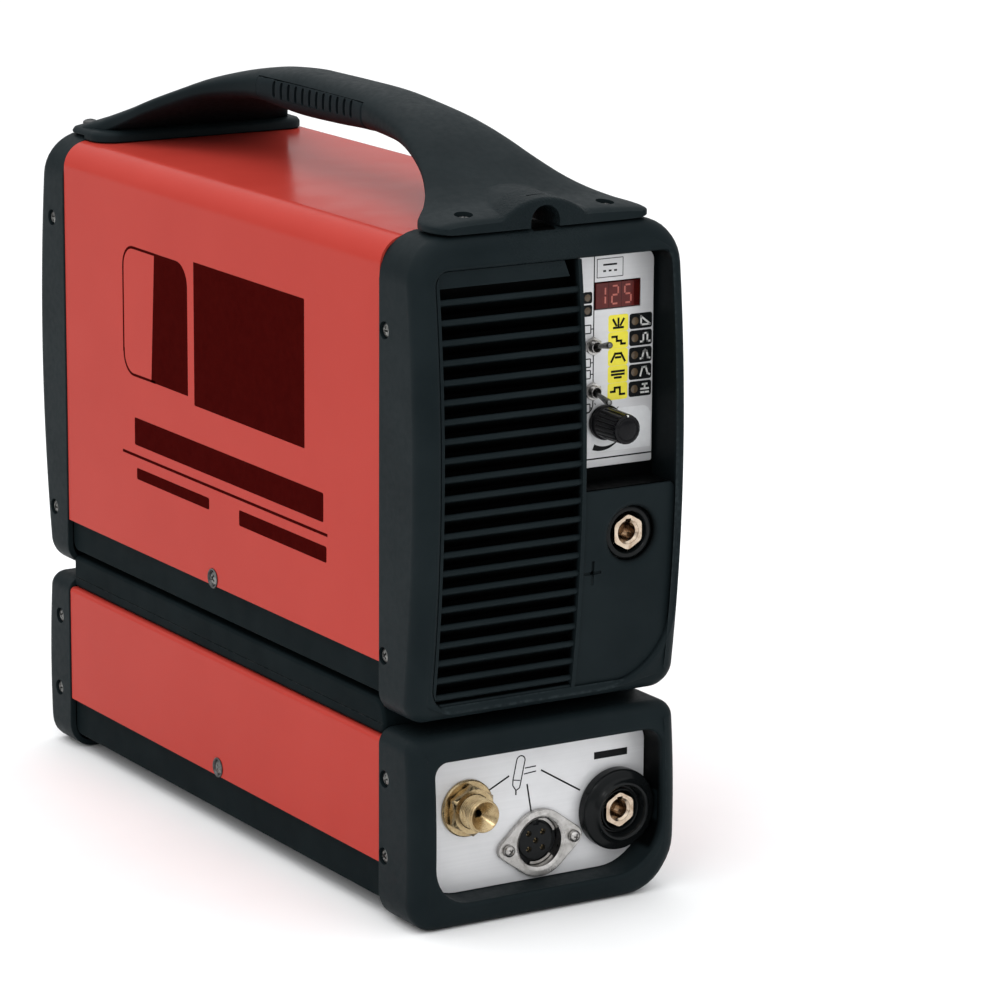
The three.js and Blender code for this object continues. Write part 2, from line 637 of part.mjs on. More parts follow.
// A lozenge flange with a round mouth, screwed on at its two ears.
function makeTorchFlange() {
  const { x, z } = TORCH_SOCKET;
  const [thickness, middle, waist, ear, earTurn] = [2.4, 17, 0.62, 5.2, 0.95];
  const tilt = THREE.MathUtils.radToDeg(Math.atan2(TORCH_EAR.z, TORCH_EAR.x));
  const outline = new THREE.Shape();
  outline.absarc(0, 0, middle, waist, Math.PI - waist);
  outline.absarc(-TORCH_EAR.x, 0, ear, Math.PI - earTurn, Math.PI + earTurn);
  outline.absarc(0, 0, middle, Math.PI + waist, 2 * Math.PI - waist);
  outline.absarc(TORCH_EAR.x, 0, ear, -earTurn, earTurn);
  const upright = prismY(outline, 0, thickness, 5).rotate([0, -tilt, 0]);
  const plate = upright.translate([x, -PLATE - GAP - thickness, z]);
  const tube = cylinderY(SLEEVE.radius, -PLATE - 1, SLEEVE.back, x, z, 24);
  const holes = torchScrewPlaces().map((place) => cylinderY(M3_HOLE, -190, -170, place.x, place.z, 10));
  return cut(plate.add(tube), cylinderY(12.2, -190, -160, x, z, 24), ...holes);
}

function makeTorchInsert() {
  const { x, z } = TORCH_SOCKET;
  return turned([[0, -179], [9.6, -179], [9.6, -178], [11.9, -178], [11.9, -164], [0, -164]], x, z, 20);
}

function makeTorchScrew({ x, z }) {
  const head = [[0, -187], [1.6, -186.9], [3, -185.6], [3, -184]];
  const shank = [[1.45, -184], [1.45, -174], [0, -174]];
  return turned([...head, ...shank], x, z, 10);
}

// ---------- handle ----------
const HANDLE_TOP = [
  [-192, 334.8], [-192, 339.4], [-188, 342], [-177, 343.6], [-168, 345.4], [-158, 348.6], [-146, 353.4],
  [-130, 360.8], [-112, 368.4], [-92, 374.6], [-70, 378.6], [-45, 381.4], [-10, 382.3], [30, 382.3],
  [60, 380], [90, 375], [105, 371], [120, 365.3], [135, 359.4], [150, 353.5], [165, 347.8], [180, 341.6],
  [190, 336.8], [190, 334.8],
];
const HANDLE_UNDER = [
  [169, 334.8], [169, 332.4], [152, 332.4], [150, 341], [135, 347.5], [120, 353.5], [105, 358.6],
  [90, 361], [60, 361.9], [30, 359.6], [-10, 360], [-45, 361.2], [-70, 360.6], [-92, 359.4],
  [-112, 355.8], [-130, 350], [-146, 343.2], [-158, 338.5], [-166, 334.8],
];
const HANDLE_HALF_WIDTH = [
  [-192, 54], [-189, 57.5], [-184, 59.2], [-177, 59.4], [-168, 56.2], [-158, 47.2], [-146, 39.2],
  [-130, 32.2], [-112, 27.4], [-92, 23.2], [-70, 19.9], [-45, 17.6], [-10, 16.2], [30, 15.6], [60, 17],
  [75, 20], [90, 24.6], [105, 30], [120, 36.7], [135, 44.2], [150, 50], [165, 57.5], [180, 60], [190, 52],
];
const HOOD_SIDE = [
  [-192, 334.8], [-192, 345.8], [-189.5, 349], [-150, 350.5], [-150, 344], [-166, 334.8],
];
const HOOD_FRONT = [
  [-26, 334], [-21, 341], [-12, 347.5], [-5, 350.4], [4, 350.4], [11, 347.5], [20, 341], [25, 334],
];
const GRIP = { front: -48, rear: 62, core: 12, floor: 367, top: 376.5 };
const HANDLE_SCREWS = [
  { name: 'front_left', x: -39, y: -181 }, { name: 'front_right', x: 39, y: -181 },
  { name: 'rear_left', x: -52, y: 182 }, { name: 'rear_right', x: 52, y: 182 },
];

function handleScrewHoles() {
  return HANDLE_SCREWS.map(({ x, y }) => cylinderZ(M4_HOLE, 320, 400, x, y, 10));
}

function handleBlank() {
  const profile = prismX(shapeOf([...HANDLE_TOP, ...HANDLE_UNDER]), -70, 70);
  const right = HANDLE_HALF_WIDTH.map(([y, half]) => [half, y]);
  const left = HANDLE_HALF_WIDTH.map(([y, half]) => [-half, y]);
  return profile.intersect(prismZ(shapeOf([...right, ...left.reverse()]), 320, 400));
}

// The broad low foot that spreads over the cover and the rear bezel.
function handleRearFoot() {
  const foot = (half, front, rear, z) => {
    const side = [[half - 8, front], [half, front + 10], [half, rear - 9], [half - 8, rear]];
    const mirrored = side.map(([x, y]) => [-x, y]);
    return { z, points: [...side, ...mirrored.reverse()] };
  };
  const body = loft([foot(62, 150, 190, 332.4), foot(62, 150, 190, 336.2), foot(58, 152, 187, 338.4)]);
  return body.subtract(box(-80, 80, COVER_REAR - 0.5, 210, 300, UPPER_TOP + GAP));
}

// The bump over the strap slot at the front foot.
function handleHood() {
  return prismX(shapeOf(HOOD_SIDE), -30, 30).intersect(prismY(shapeOf(HOOD_FRONT), -193, -149));
}

function makeHandle() {
  const body = handleBlank().add(handleRearFoot()).add(handleHood());
  const arch = roundedRect(-8.7, 7.3, 330, 345.3, [1, 1, 7.9, 7.9]);
  const heads = HANDLE_SCREWS.map(({ x, y }) => cylinderZ(4.6, 338.4, 400, x, y, 12));
  const gripRoom = box(-40, 40, GRIP.front, GRIP.rear, 355, GRIP.floor);
  const gripSides = [[-40, -GRIP.core], [GRIP.core, 40]].map(([x0, x1]) => (
    box(x0, x1, GRIP.front, GRIP.rear, 355, GRIP.top)
  ));
  return cut(body, prismY(arch, -205, -160), ...heads, ...handleScrewHoles(), gripRoom, ...gripSides);
}

// Soft channel that wraps the underside and flanks of the grip.
function makeHandleGrip() {
  const slice = box(-40, 40, GRIP.front + GAP, GRIP.rear - GAP, 355, GRIP.top - GAP);
  const core = box(-GRIP.core - GAP, GRIP.core + GAP, GRIP.front - 1, GRIP.rear + 1, GRIP.floor - GAP, 400);
  return handleBlank().intersect(slice).subtract(core);
}

function makeHandleScrew({ x, y }) {
  const head = cylinderZ(4, 338.7, 341.2, x, y, 12);
  return head.add(cylinderZ(2, 324, 339, x, y, 8));
}

// ---------- rear: fan, guard, mains switch and cable gland ----------
function makeFanFrame() {
  const { half, z, front, rear, bore } = FAN;
  const block = prismY(roundedRect(-half, half, z - half, z + half, [6, 6, 6, 6]), front, rear);
  const tunnel = cylinderY(bore, front - 1, rear + 1, 0, z, 32);
  const motor = cylinderY(19, front, front + 8, 0, z, 20);
  const arms = [0, 1, 2].map((i) => {
    const arm = box(-2, 2, front, front + 4, 0, half);
    return arm.rotate([0, i * 120 + 15, 0]).translate([0, 0, z]);
  });
  const pin = cylinderY(2, front + 7, front + 20, 0, z, 20);
  return join(block.subtract(tunnel), motor, ...arms, pin);
}

// Seven pitched blades on a hub that turns on the frame's pin.
function makeFanRotor() {
  const { z, front, bore } = FAN;
  const hub = cylinderY(20, front + 9, front + 32, 0, z, 20);
  const blades = Array.from({ length: 7 }, (_, i) => {
    const blade = box(-1, 1, -13, 13, 18, bore - 2.5).rotate([0, 0, 38]);
    return blade.rotate([0, (i * 360) / 7, 0]).translate([0, front + 22, z]);
  });
  return join(hub, ...blades).subtract(cylinderY(2.1, front + 5, front + 22, 0, z, 20));
}

// Pressed wire guard: rings on four spokes that run out to the screw ears.
function makeFanGuard() {
  const ring = (radius) => {
    const outer = cylinderY(radius + 1.2, 182, 184.4, 0, FAN.z, 20);
    return outer.subtract(cylinderY(radius - 1.2, 180, 186, 0, FAN.z, 20));
  };
  const rings = [14, 33, 53].map(ring);
  const spokes = [45, 135, 225, 315].map((angle) => {
    const spoke = box(-1.4, 1.4, 180.2, 182.6, 12, 62);
    return spoke.rotate([0, angle, 0]).translate([0, 0, FAN.z]);
  });
  return join(...rings, ...spokes);
}

const ROCKER = { pivotY: 181.5, tilt: 10 };

function makeSwitchHousing() {
  const { x, z, halfX, halfZ } = SWITCH;
  const [flangeX, flangeZ] = [halfX + 2, halfZ + 2];
  const outline = roundedRect(x - flangeX, x + flangeX, z - flangeZ, z + flangeZ, [2, 2, 2, 2]);
  const flange = prismY(outline, FLOOR + GAP, 182.2);
  const body = box(x - halfX, x + halfX, 158, FLOOR + 1, z - halfZ, z + halfZ);
  const well = box(x - 11.6, x + 11.6, 172, 190, z - 7.6, z + 7.6);
  return flange.add(body).subtract(well);
}

// A rocker seen end on: two faces meeting in a shallow valley over the pivot.
function makeRocker() {
  const { x, z } = SWITCH;
  const across = shapeOf([[-10.9, -1.5], [0, -7.5], [10.9, -1.5], [10.6, 3.4], [0, 1.8], [-10.6, 3.4]]);
  const body = prismZ(across, -7, 7, 1);
  return body.rotate([0, 0, ROCKER.tilt]).translate([x, ROCKER.pivotY, z]);
}

function makeGlandBody() {
  const { x, z, bore } = GLAND;
  const collar = hexY(24, FLOOR + GAP, 184.5, x, z);
  const threads = cylinderY(10, 166, 192, x, z, 18);
  return collar.add(threads).subtract(cylinderY(bore, 160, 200, x, z, 12));
}

function makeGlandNut() {
  const { x, z, bore } = GLAND;
  const body = turned([[0, 184.8], [12, 184.8], [12, 193.5], [8.5, 199], [0, 199]], x, z, 12);
  return cut(body, cylinderY(10.4, 184, 192.3, x, z, 18), cylinderY(bore, 160, 210, x, z, 12));
}

function makeGlandLockNut() {
  const { x, z } = GLAND;
  return hexY(25, 171, BULKHEAD - GAP, x, z).subtract(cylinderY(10.4, 160, 190, x, z, 18));
}

// ---------- power electronics ----------
const BOARD_TOP = 121.6;

// Four spacers at the corners of a board that is centred on x, or on a given middle.
function boardFeet(half, front, rear, z0, z1, middle = 0) {
  const corners = [[-half, front], [half, front], [-half, rear], [half, rear]];
  return corners.map(([x, y]) => cylinderZ(3, z0, z1, middle + x, y, 10));
}

function makePowerBoard() {
  const board = box(-62, 62, -150, 120, BOARD_TOP - 1.6, BOARD_TOP);
  return join(board, ...boardFeet(52, -140, 110, TRAY_BOTTOM + 2, BOARD_TOP - 1));
}

function makeHeatsink() {
  const base = box(-56, -50, 0, 118, BOARD_TOP + GAP, 212);
  const fins = Array.from({ length: 9 }, (_, i) => box(-51, -8, 0, 118, 128 + i * 10, 130 + i * 10));
  return join(base, ...fins);
}

function makePowerTransformer() {
  const core = box(4, 54, -20, 40, BOARD_TOP + GAP, 190);
  const window = box(14, 44, -30, 50, 134, 178);
  const leg = box(22, 36, -16, 36, 132, 180);
  const winding = prismZ(roundedRect(16, 42, -30, 50, [10, 10, 10, 10]), 136, 176, 4);
  return join(core.subtract(window), leg, winding.subtract(box(24, 34, -10, 30, 130, 180)));
}

function makeCapacitor(x) {
  return cylinderZ(17, BOARD_TOP + GAP, 172, x, -60, 20);
}

// ---------- sheet parts and gas path of the lower module ----------
const LOWER_FLOOR = BASE_BOTTOM + 1.7;

function makeHfBoard() {
  const board = box(-20, 64, -40, 100, 24, 25.6);
  return join(board, ...boardFeet(34, -32, 92, LOWER_FLOOR + GAP, 24.5, 22));
}

// A toroid wound with heavy copper, standing on the ignition board.
function makeHfCoil() {
  const ring = new THREE.Shape().absarc(0, 0, 30, 0, 2 * Math.PI);
  ring.holes.push(new THREE.Path().absarc(0, 0, 13, 0, 2 * Math.PI, true));
  return prismZ(ring, 25.9, 56, 10).translate([24, 30, 0]);
}

const VALVE = { x: -40, y: 20, z: 40, port: 26 };

function makeValveBody() {
  const { x, y, z } = VALVE;
  const block = box(x - 13, x + 13, y - 18, y + 18, LOWER_FLOOR + GAP, z);
  const coil = box(x - 14, x + 14, y - 14, y + 14, z - 1, z + 34);
  const ports = cylinderY(6, y - VALVE.port, y + VALVE.port, x, z - 14, 16);
  return join(block, coil, ports).subtract(cylinderZ(5.1, z - 6, z + 40, x, y, 24));
}

function makeValvePlunger() {
  const { x, y, z } = VALVE;
  return cylinderZ(5, z - 5.7, z + 30, x, y, 24);
}

function makeGasInlet() {
  const { x, z } = GAS_INLET;
  const body = turned([
    [0, 152], [3.4, 152], [4.2, 155], [4.2, 166], [6.5, 166], [6.5, 181], [0, 181],
  ], x, z, 14);
  const collar = hexY(17, FLOOR + GAP, 185, x, z);
  const barbs = [[5, 188.5], [4, 192], [5, 192.5], [4, 197]];
  const tail = turned([[0, 184], [4.4, 184], [4.4, 188], ...barbs, [0, 197]], x, z, 14);
  return join(body, collar, tail).subtract(cylinderY(2.2, 150, 200, x, z, 8));
}

function hose(points) {
  const curve = new THREE.CatmullRomCurve3(points.map(([x, y, z]) => new THREE.Vector3(x, y, z)));
  const section = new THREE.Shape().absarc(0, 0, HOSE_RADIUS, 0, 2 * Math.PI);
  return solid(new THREE.ExtrudeGeometry(section, { steps: 10, curveSegments: 2, extrudePath: curve }));
}

function makeRearHose() {
  const { x, z } = GAS_INLET;
  const port = VALVE.z - 14;
  const end = VALVE.y + VALVE.port + GAP + 0.1;
  return hose([[x, 151.6, z], [x, 135, z], [x - 2, 100, 40], [VALVE.x, 66, port], [VALVE.x, end, port]]);
}

function makeFrontHose() {
  const { x, z } = GAS_OUTLET;
  const port = VALVE.z - 14;
  const start = VALVE.y - VALVE.port - GAP - 0.1;
  const rise = [[VALVE.x, -40, port], [VALVE.x + 2, -90, 38], [x, -135, z]];
  return hose([[VALVE.x, start, port], ...rise, [x, -151.6, z]]);
}

// ---------- the assembly ----------
add('upper_front_bezel', makeUpperFrontBezel(), blackPlastic);
add('upper_rear_bezel', makeUpperRearBezel(), blackPlastic);
add('upper_cover', makeUpperCover(), redPaint);
add('upper_chassis', makeUpperChassis(), blackSteel);
add('louvre_grille', makeLouvreGrille(), blackPlastic);
add('control_plate', makeControlPlate(), silverPlate);
add('socket_panel', makeSocketPanel(), blackPlastic);
add('display_window', makeDisplayWindow(), redWindow);
add('display_module', makeDisplayModule(), blackPlastic);
add('current_knob', makeKnob(), blackPlastic);
add('potentiometer_shaft', makePotShaft(), steel);
add('potentiometer_body', makePotBody(), steel);
TOGGLES.forEach((toggle, i) => {
  add(`${toggle.name}_lever`, makeToggleLever(toggle, i === 0 ? -TOGGLE_TILT : TOGGLE_TILT), steel);
  add(`${toggle.name}_body`, makeToggleBody(toggle), steel);
});
add('positive_socket_housing', makeDinseHousing(POSITIVE, positiveHousingProfile()), blackPlastic);
add('positive_socket_insert', makeDinseInsert(POSITIVE, -196), brass);
add('handle', makeHandle(), blackPlastic);
add('handle_grip', makeHandleGrip(), rubber);
HANDLE_SCREWS.forEach((screw) => add(`handle_screw_${screw.name}`, makeHandleScrew(screw), steel));
add('fan_frame', makeFanFrame(), blackPlastic);
add('fan_rotor', makeFanRotor(), blackPlastic);
add('fan_guard', makeFanGuard(), steel);
add('power_switch_housing', makeSwitchHousing(), blackPlastic);
add('power_rocker', makeRocker(), blackPlastic);
add('gland_body', makeGlandBody(), blackPlastic);
add('gland_dome_nut', makeGlandNut(), blackPlastic);
add('gland_lock_nut', makeGlandLockNut(), blackPlastic);
add('power_board', makePowerBoard(), boardGreen);
add('heatsink', makeHeatsink(), aluminium);
add('power_transformer', makePowerTransformer(), ferrite);
add('capacitor_left', makeCapacitor(-22), blueSleeve);
add('capacitor_right', makeCapacitor(22), blueSleeve);
add('control_board', makeControlBoard(), boardGreen);

add('lower_front_bezel', makeLowerFrontBezel(), blackPlastic);
add('lower_rear_bezel', makeLowerRearBezel(), blackPlastic);
add('lower_cover', makeLowerCover(), redPaint);
add('lower_tray', makeLowerTray(), blackSteel);
add('lower_deck', makeLowerDeck(), blackSteel);
add('connection_plate', makeConnectionPlate(), silverPlate);
add('gas_outlet_body', makeGasOutlet(), brass);
add('gas_outlet_nut', makeGasNut(), brass);
add('gas_outlet_washer', makeGasWasher(), brass);
add('torch_socket_flange', makeTorchFlange(), steel);
add('torch_socket_insert', makeTorchInsert(), blackPlastic);
torchScrewPlaces().forEach((place, i) => {
  add(`torch_socket_screw_${i === 0 ? 'left' : 'right'}`, makeTorchScrew(place), steel);
});
add('negative_socket_housing', makeDinseHousing(NEGATIVE, negativeHousingProfile()), blackPlastic);
add('negative_socket_insert', makeDinseInsert(NEGATIVE, -187), brass);
add('hf_coil', makeHfCoil(), copper);
add('hf_board', makeHfBoard(), boardGreen);
add('gas_valve_body', makeValveBody(), brass);
add('gas_valve_plunger', makeValvePlunger(), steel);
add('gas_inlet', makeGasInlet(), brass);
add('gas_hose_rear', makeRearHose(), hoseBlack);
add('gas_hose_front', makeFrontHose(), hoseBlack);

export default group;
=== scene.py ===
"""TIG welder: the visual model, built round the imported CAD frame.

Lengths in this file are millimetres until a mesh is made. X is to the right seen from the front,
the front faces -Y, and Z is up. Places come from the boxes of the CAD nodes.
"""
import json
import math

import bmesh
import bpy
from mathutils import Matrix, Vector


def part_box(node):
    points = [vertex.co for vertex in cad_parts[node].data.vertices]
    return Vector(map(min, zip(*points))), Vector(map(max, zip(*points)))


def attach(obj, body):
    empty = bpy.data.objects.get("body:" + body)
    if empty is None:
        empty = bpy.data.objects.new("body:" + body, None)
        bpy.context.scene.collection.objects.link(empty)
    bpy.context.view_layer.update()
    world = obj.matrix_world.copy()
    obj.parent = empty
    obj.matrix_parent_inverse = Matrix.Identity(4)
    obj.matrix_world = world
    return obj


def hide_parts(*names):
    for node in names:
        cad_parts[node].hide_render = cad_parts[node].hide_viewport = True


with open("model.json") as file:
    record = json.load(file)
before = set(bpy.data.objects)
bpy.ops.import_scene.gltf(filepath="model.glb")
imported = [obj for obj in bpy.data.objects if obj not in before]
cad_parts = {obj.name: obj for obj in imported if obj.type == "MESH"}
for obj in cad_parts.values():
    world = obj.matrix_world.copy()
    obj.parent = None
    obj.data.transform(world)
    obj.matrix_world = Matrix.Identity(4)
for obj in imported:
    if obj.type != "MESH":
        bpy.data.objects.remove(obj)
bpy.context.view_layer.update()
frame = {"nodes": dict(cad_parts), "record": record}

MM = 0.001


# ---------- places from the frame ----------
class Box:
    """Where a CAD node is at rest, in millimetres."""

    def __init__(self, node):
        low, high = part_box(node)
        self.x0, self.y0, self.z0 = (value / MM for value in low)
        self.x1, self.y1, self.z1 = (value / MM for value in high)
        self.x, self.y, self.z = ((low + high) / 2 / MM)[:]


AT = {node: Box(node) for node in frame["nodes"]}

UPPER = AT["upper_front_bezel"]
LOWER = AT["lower_front_bezel"]
UPPER_REAR = AT["upper_rear_bezel"]
LOWER_REAR = AT["lower_rear_bezel"]
PLATE = -AT["connection_plate"].y0  # |y| of the outer side of the label plates
FLOOR = PLATE - 1.4  # |y| of the floor of the recesses that they lie in
BULKHEAD = FLOOR - 2.6  # |y| of the inner side of that wall
WALL = 3.0
SHEET = 1.2
EDGE = 8.0  # rounding of the front edges of the bezels
LIP = 2.0  # rounding of the edges of the mouths
INK = 0.06  # thickness of a print or a sticker
PLATE_CUT = (-184, -178)  # y of the ends of the holes through the label plates
TOGGLES = ("mode_toggle", "process_toggle")
TORCH_SCREWS = ("torch_socket_screw_left", "torch_socket_screw_right")


# ---------- outlines ----------
def mix(a, b, t):
    return a + (b - a) * t


def between(a, b, t):
    """The point at share t of the way from a to b."""
    return tuple(mix(p, q, t) for p, q in zip(a, b))


def evenly(first, last, steps):
    return [mix(first, last, i / steps) for i in range(steps + 1)]


def arc(cx, cy, radius, start, end, steps):
    """Points of an arc, its angles in degrees."""
    angles = [math.radians(angle) for angle in evenly(start, end, steps)]
    return [(cx + radius * math.cos(a), cy + radius * math.sin(a)) for a in angles]


def circle(x, z, radius, count=48, turn=0.0):
    return arc(x, z, radius, turn, turn + 360, count)[:-1]


def rounded(x0, x1, z0, z1, radii, inset=0.0, bend=8, side=1):
    """A rectangle with corner radii [bottom left, bottom right, top right, top left], moved in by inset."""
    x0, x1, z0, z1 = x0 + inset, x1 - inset, z0 + inset, z1 - inset
    bl, br, tr, tl = (max(radius - inset, 0.05) for radius in radii)
    corners = [
        arc(x0 + bl, z0 + bl, bl, 180, 270, bend),
        arc(x1 - br, z0 + br, br, 270, 360, bend),
        arc(x1 - tr, z1 - tr, tr, 0, 90, bend),
        arc(x0 + tl, z1 - tl, tl, 90, 180, bend),
    ]
    points = []
    for corner, following in zip(corners, corners[1:] + corners[:1]):
        points += corner
        (xa, za), (xb, zb) = corner[-1], following[0]
        points += [(mix(xa, xb, k / (side + 1)), mix(za, zb, k / (side + 1))) for k in range(1, side + 1)]
    return points


def spline(table, at):
    """Value of a smooth curve through a table of (position, value) rows."""
    k = 0
    while k < len(table) - 2 and at > table[k + 1][0]:
        k += 1
    (x0, y0), (x1, y1) = table[k], table[k + 1]
    before = table[k - 1] if k else table[k]
    after = table[k + 2] if k + 2 < len(table) else table[k + 1]
    step = x1 - x0
    slope0 = (y1 - before[1]) / (x1 - before[0]) * step
    slope1 = (after[1] - y0) / (after[0] - x0) * step
    t = min(max((at - x0) / step, 0), 1)
    return (
        y0 * (1 + 2 * t) * (1 - t) ** 2 + slope0 * t * (1 - t) ** 2
        + y1 * t * t * (3 - 2 * t) - slope1 * t * t * (1 - t)
    )


def ribbon(points, width, end_width=None):
    """The outline of a line of some width drawn through points, which may taper."""
    left, right = [], []
    for i, (x, z) in enumerate(points):
        before, after = points[max(i - 1, 0)], points[min(i + 1, len(points) - 1)]
        dx, dz = after[0] - before[0], after[1] - before[1]
        length = math.hypot(dx, dz)
        half = mix(width, width if end_width is None else end_width, i / (len(points) - 1)) / 2
        left.append((x - dz / length * half, z + dx / length * half))
        right.append((x + dz / length * half, z - dx / length * half))
    return left + right[::-1]


def oval(half, low, waist, high, top_power, low_power, count=56):
    """A superellipse in XZ: half its width, its lowest, widest and highest z, and a power above and below."""
    points = []
    for i in range(count):
        turn = 2 * math.pi * (i + 0.5) / count
        across, up = math.cos(turn), math.sin(turn)
        power = top_power if up > 0 else low_power
        height = (high - waist) if up > 0 else (waist - low)
        x = half * math.copysign(abs(across) ** (2 / power), across)
        points.append((x, waist + height * math.copysign(abs(up) ** (2 / power), up)))
    return points


def rod(radius, y0, y1):
    """The profile of a plain round rod, for Form.turned and Form.turned_up."""
    return [(0, y0), (radius, y0), (radius, y1), (0, y1)]


# ---------- meshes ----------
class Form:
    """A mesh in the making, put together from closed skins."""

    def __init__(self):
        self.verts = []
        self.faces = []

    def skin(self, rings, loop=False):
        """Joins rings that have the same number of points, and closes both ends unless the rings loop."""
        base, count = len(self.verts), len(rings[0])
        for ring in rings:
            self.verts += ring
        for a in range(len(rings) if loop else len(rings) - 1):
            b = (a + 1) % len(rings)
            for i in range(count):
                j = (i + 1) % count
                corners = (a * count + i, a * count + j, b * count + j, b * count + i)
                self.faces.append([base + corner for corner in corners])
        if not loop:
            last = base + (len(rings) - 1) * count
            self.faces.append([base + i for i in reversed(range(count))])
            self.faces.append([last + i for i in range(count)])
        return self

    def slab(self, outline, levels):
        """Stacks an outline in XZ along Y. outline takes an inset, and levels are (inset, y) rows."""
        return self.skin([[(x, y, z) for x, z in outline(inset)] for inset, y in levels])

    def plank(self, outline, levels):
        """The same along X for an outline in YZ."""
        return self.skin([[(x, y, z) for y, z in outline(inset)] for inset, x in levels])

    def tile(self, outline, levels):
        """The same along Z for an outline in XY."""
        return self.skin([[(x, y, z) for x, y in outline(inset)] for inset, z in levels])

    def block(self, x0, x1, y0, y1, z0, z1, bevel=0.3):
        """A box with bevelled edges."""
        bevel = min(bevel, (x1 - x0) / 2.1, (y1 - y0) / 2.1, (z1 - z0) / 2.1)
        levels = [(bevel, y0), (0, y0 + bevel), (0, y1 - bevel), (bevel, y1)]
        return self.slab(lambda inset: rounded(x0, x1, z0, z1, [bevel] * 4, inset, 2, 0), levels)

    def turned(self, profile, x, z, count=48, loop=False):
        """A turned piece along Y: profile rows are (radius, y)."""
        rings = [[(px, y, pz) for px, pz in circle(x, z, radius, count)] for radius, y in profile]
        return self.skin(rings, loop)

    def turned_up(self, profile, x, y, count=48, loop=False):
        """A turned piece along Z: profile rows are (radius, z)."""
        rings = [[(px, py, z) for px, py in circle(x, y, radius, count)] for radius, z in profile]
        return self.skin(rings, loop)

    def sheet(self, outline, y0, y1):
        """A flat piece with an outline in XZ, with square edges."""
        return self.slab(lambda inset: outline, [(0, y0), (0, y1)])

    def hexagon(self, flats, y0, y1, x, z, chamfer=0.8, spare=0.0):
        """A hexagonal bar along Y. Its corners are taken off at both ends, but for a spare length."""
        corner = flats / 2 / math.cos(math.pi / 6)
        rings = []
        end = flats / 2 + spare
        for limit, y in ((end, y0), (corner, y0 + chamfer), (corner, y1 - chamfer), (end, y1)):
            ring = []
            for step in range(36):
                turn = math.radians(step * 10)
                flat = flats / 2 / math.cos((turn % (math.pi / 3)) - math.pi / 6)
                radius = min(flat, limit + 0.02)
                ring.append((x + radius * math.sin(turn), y, z + radius * math.cos(turn)))
            rings.append(ring)
        return self.skin(rings)

    def tube(self, profile, x, z, count=48):
        """A turned ring along Y: profile rows are (radius, y) and close on themselves."""
        return self.turned(profile, x, z, count, loop=True)

    def wire(self, points, radius, count=8, loop=False):
        """A round wire along a path."""
        rings = []
        for i, point in enumerate(points):
            before = points[i - 1] if i or loop else point
            after = points[(i + 1) % len(points)] if i + 1 < len(points) or loop else point
            along = (Vector(after) - Vector(before)).normalized()
            side = along.cross(Vector((0, 1, 0)) if abs(along.y) < 0.9 else Vector((1, 0, 0))).normalized()
            up = side.cross(along)
            turns = evenly(0, 2 * math.pi, count)[:-1]
            spokes = [radius * (side * math.cos(a) + up * math.sin(a)) for a in turns]
            rings.append([(Vector(point) + spoke)[:] for spoke in spokes])
        return self.skin(rings, loop)

    def moved(self, matrix):
        """Applies a 4 by 4 matrix to every point."""
        self.verts = [(matrix @ Vector(point))[:] for point in self.verts]
        return self

    def add(self, other, matrix):
        """Takes in another form, moved by a matrix."""
        base = len(self.verts)
        self.verts += other.moved(matrix).verts
        self.faces += [[base + corner for corner in face] for face in other.faces]
        return self


def mesh_of(form, name):
    mesh = bpy.data.meshes.new(name)
    mesh.from_pydata([Vector(point) * MM for point in form.verts], [], form.faces)
    work = bmesh.new()
    work.from_mesh(mesh)
    bmesh.ops.remove_doubles(work, verts=work.verts, dist=0.002 * MM)
    bmesh.ops.dissolve_degenerate(work, edges=work.edges, dist=0.001 * MM)
    bmesh.ops.recalc_face_normals(work, faces=work.faces)
    work.to_mesh(mesh)
    work.free()
    return mesh


def link(name, mesh):
    made = bpy.data.objects.new(name, mesh)
    bpy.context.scene.collection.objects.link(made)
    return made


def combine(obj, form, operation):
    """Joins a closed form to an object, takes it away, or keeps only what is inside it."""
    tool = link("tool", mesh_of(form, "tool"))
    modifier = obj.modifiers.new("cut", "BOOLEAN")
    modifier.operation = operation
    modifier.solver = "EXACT"
    modifier.use_self = True
    modifier.object = tool
    bpy.context.view_layer.update()
    result = bpy.data.meshes.new_from_object(obj.evaluated_get(bpy.context.evaluated_depsgraph_get()))
    obj.modifiers.clear()
    obj.data = result
    bpy.data.objects.remove(tool)


def piece(name, form, material, body="machine", replaces=(), sharp=38,
          join=None, cuts=None, within=None):
    """Makes one visible piece of a form, which rides on a body and may stand for CAD nodes."""
    made = link(name, mesh_of(form, name))
    for other, operation in ((join, "UNION"), (within, "INTERSECT"), (cuts, "DIFFERENCE")):
        if other:
            combine(made, other, operation)
    finish_piece(made, material, body, replaces, sharp)
    return made


def finish_piece(made, material, body, replaces, sharp):
    made.data.materials.clear()
    made.data.materials.append(MATERIALS[material])
    made.data.shade_smooth()
    made.data.set_sharp_from_angle(angle=math.radians(sharp))
    weighted = made.modifiers.new("normals", "WEIGHTED_NORMAL")
    weighted.keep_sharp = True
    weighted.weight = 80
    if replaces:
        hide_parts(*replaces)
    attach(made, body)


# ---------- materials ----------
MATERIALS = {}
SHADE_DEPTH = 2.6  # how far behind a bulging face its recesses start to be painted darker, as shade
BLACK_DEPTH = 5.2  # and where that painted shade turns black
# colours painted in as shade: black deep in the mouths of the bezels, and in the strap slot of the handle
RECESS_SHADE_BLACK = (0.0012, 0.0016, 0.0018)
SLOT_SHADE_BLACK = (0.0004, 0.0005, 0.0005)


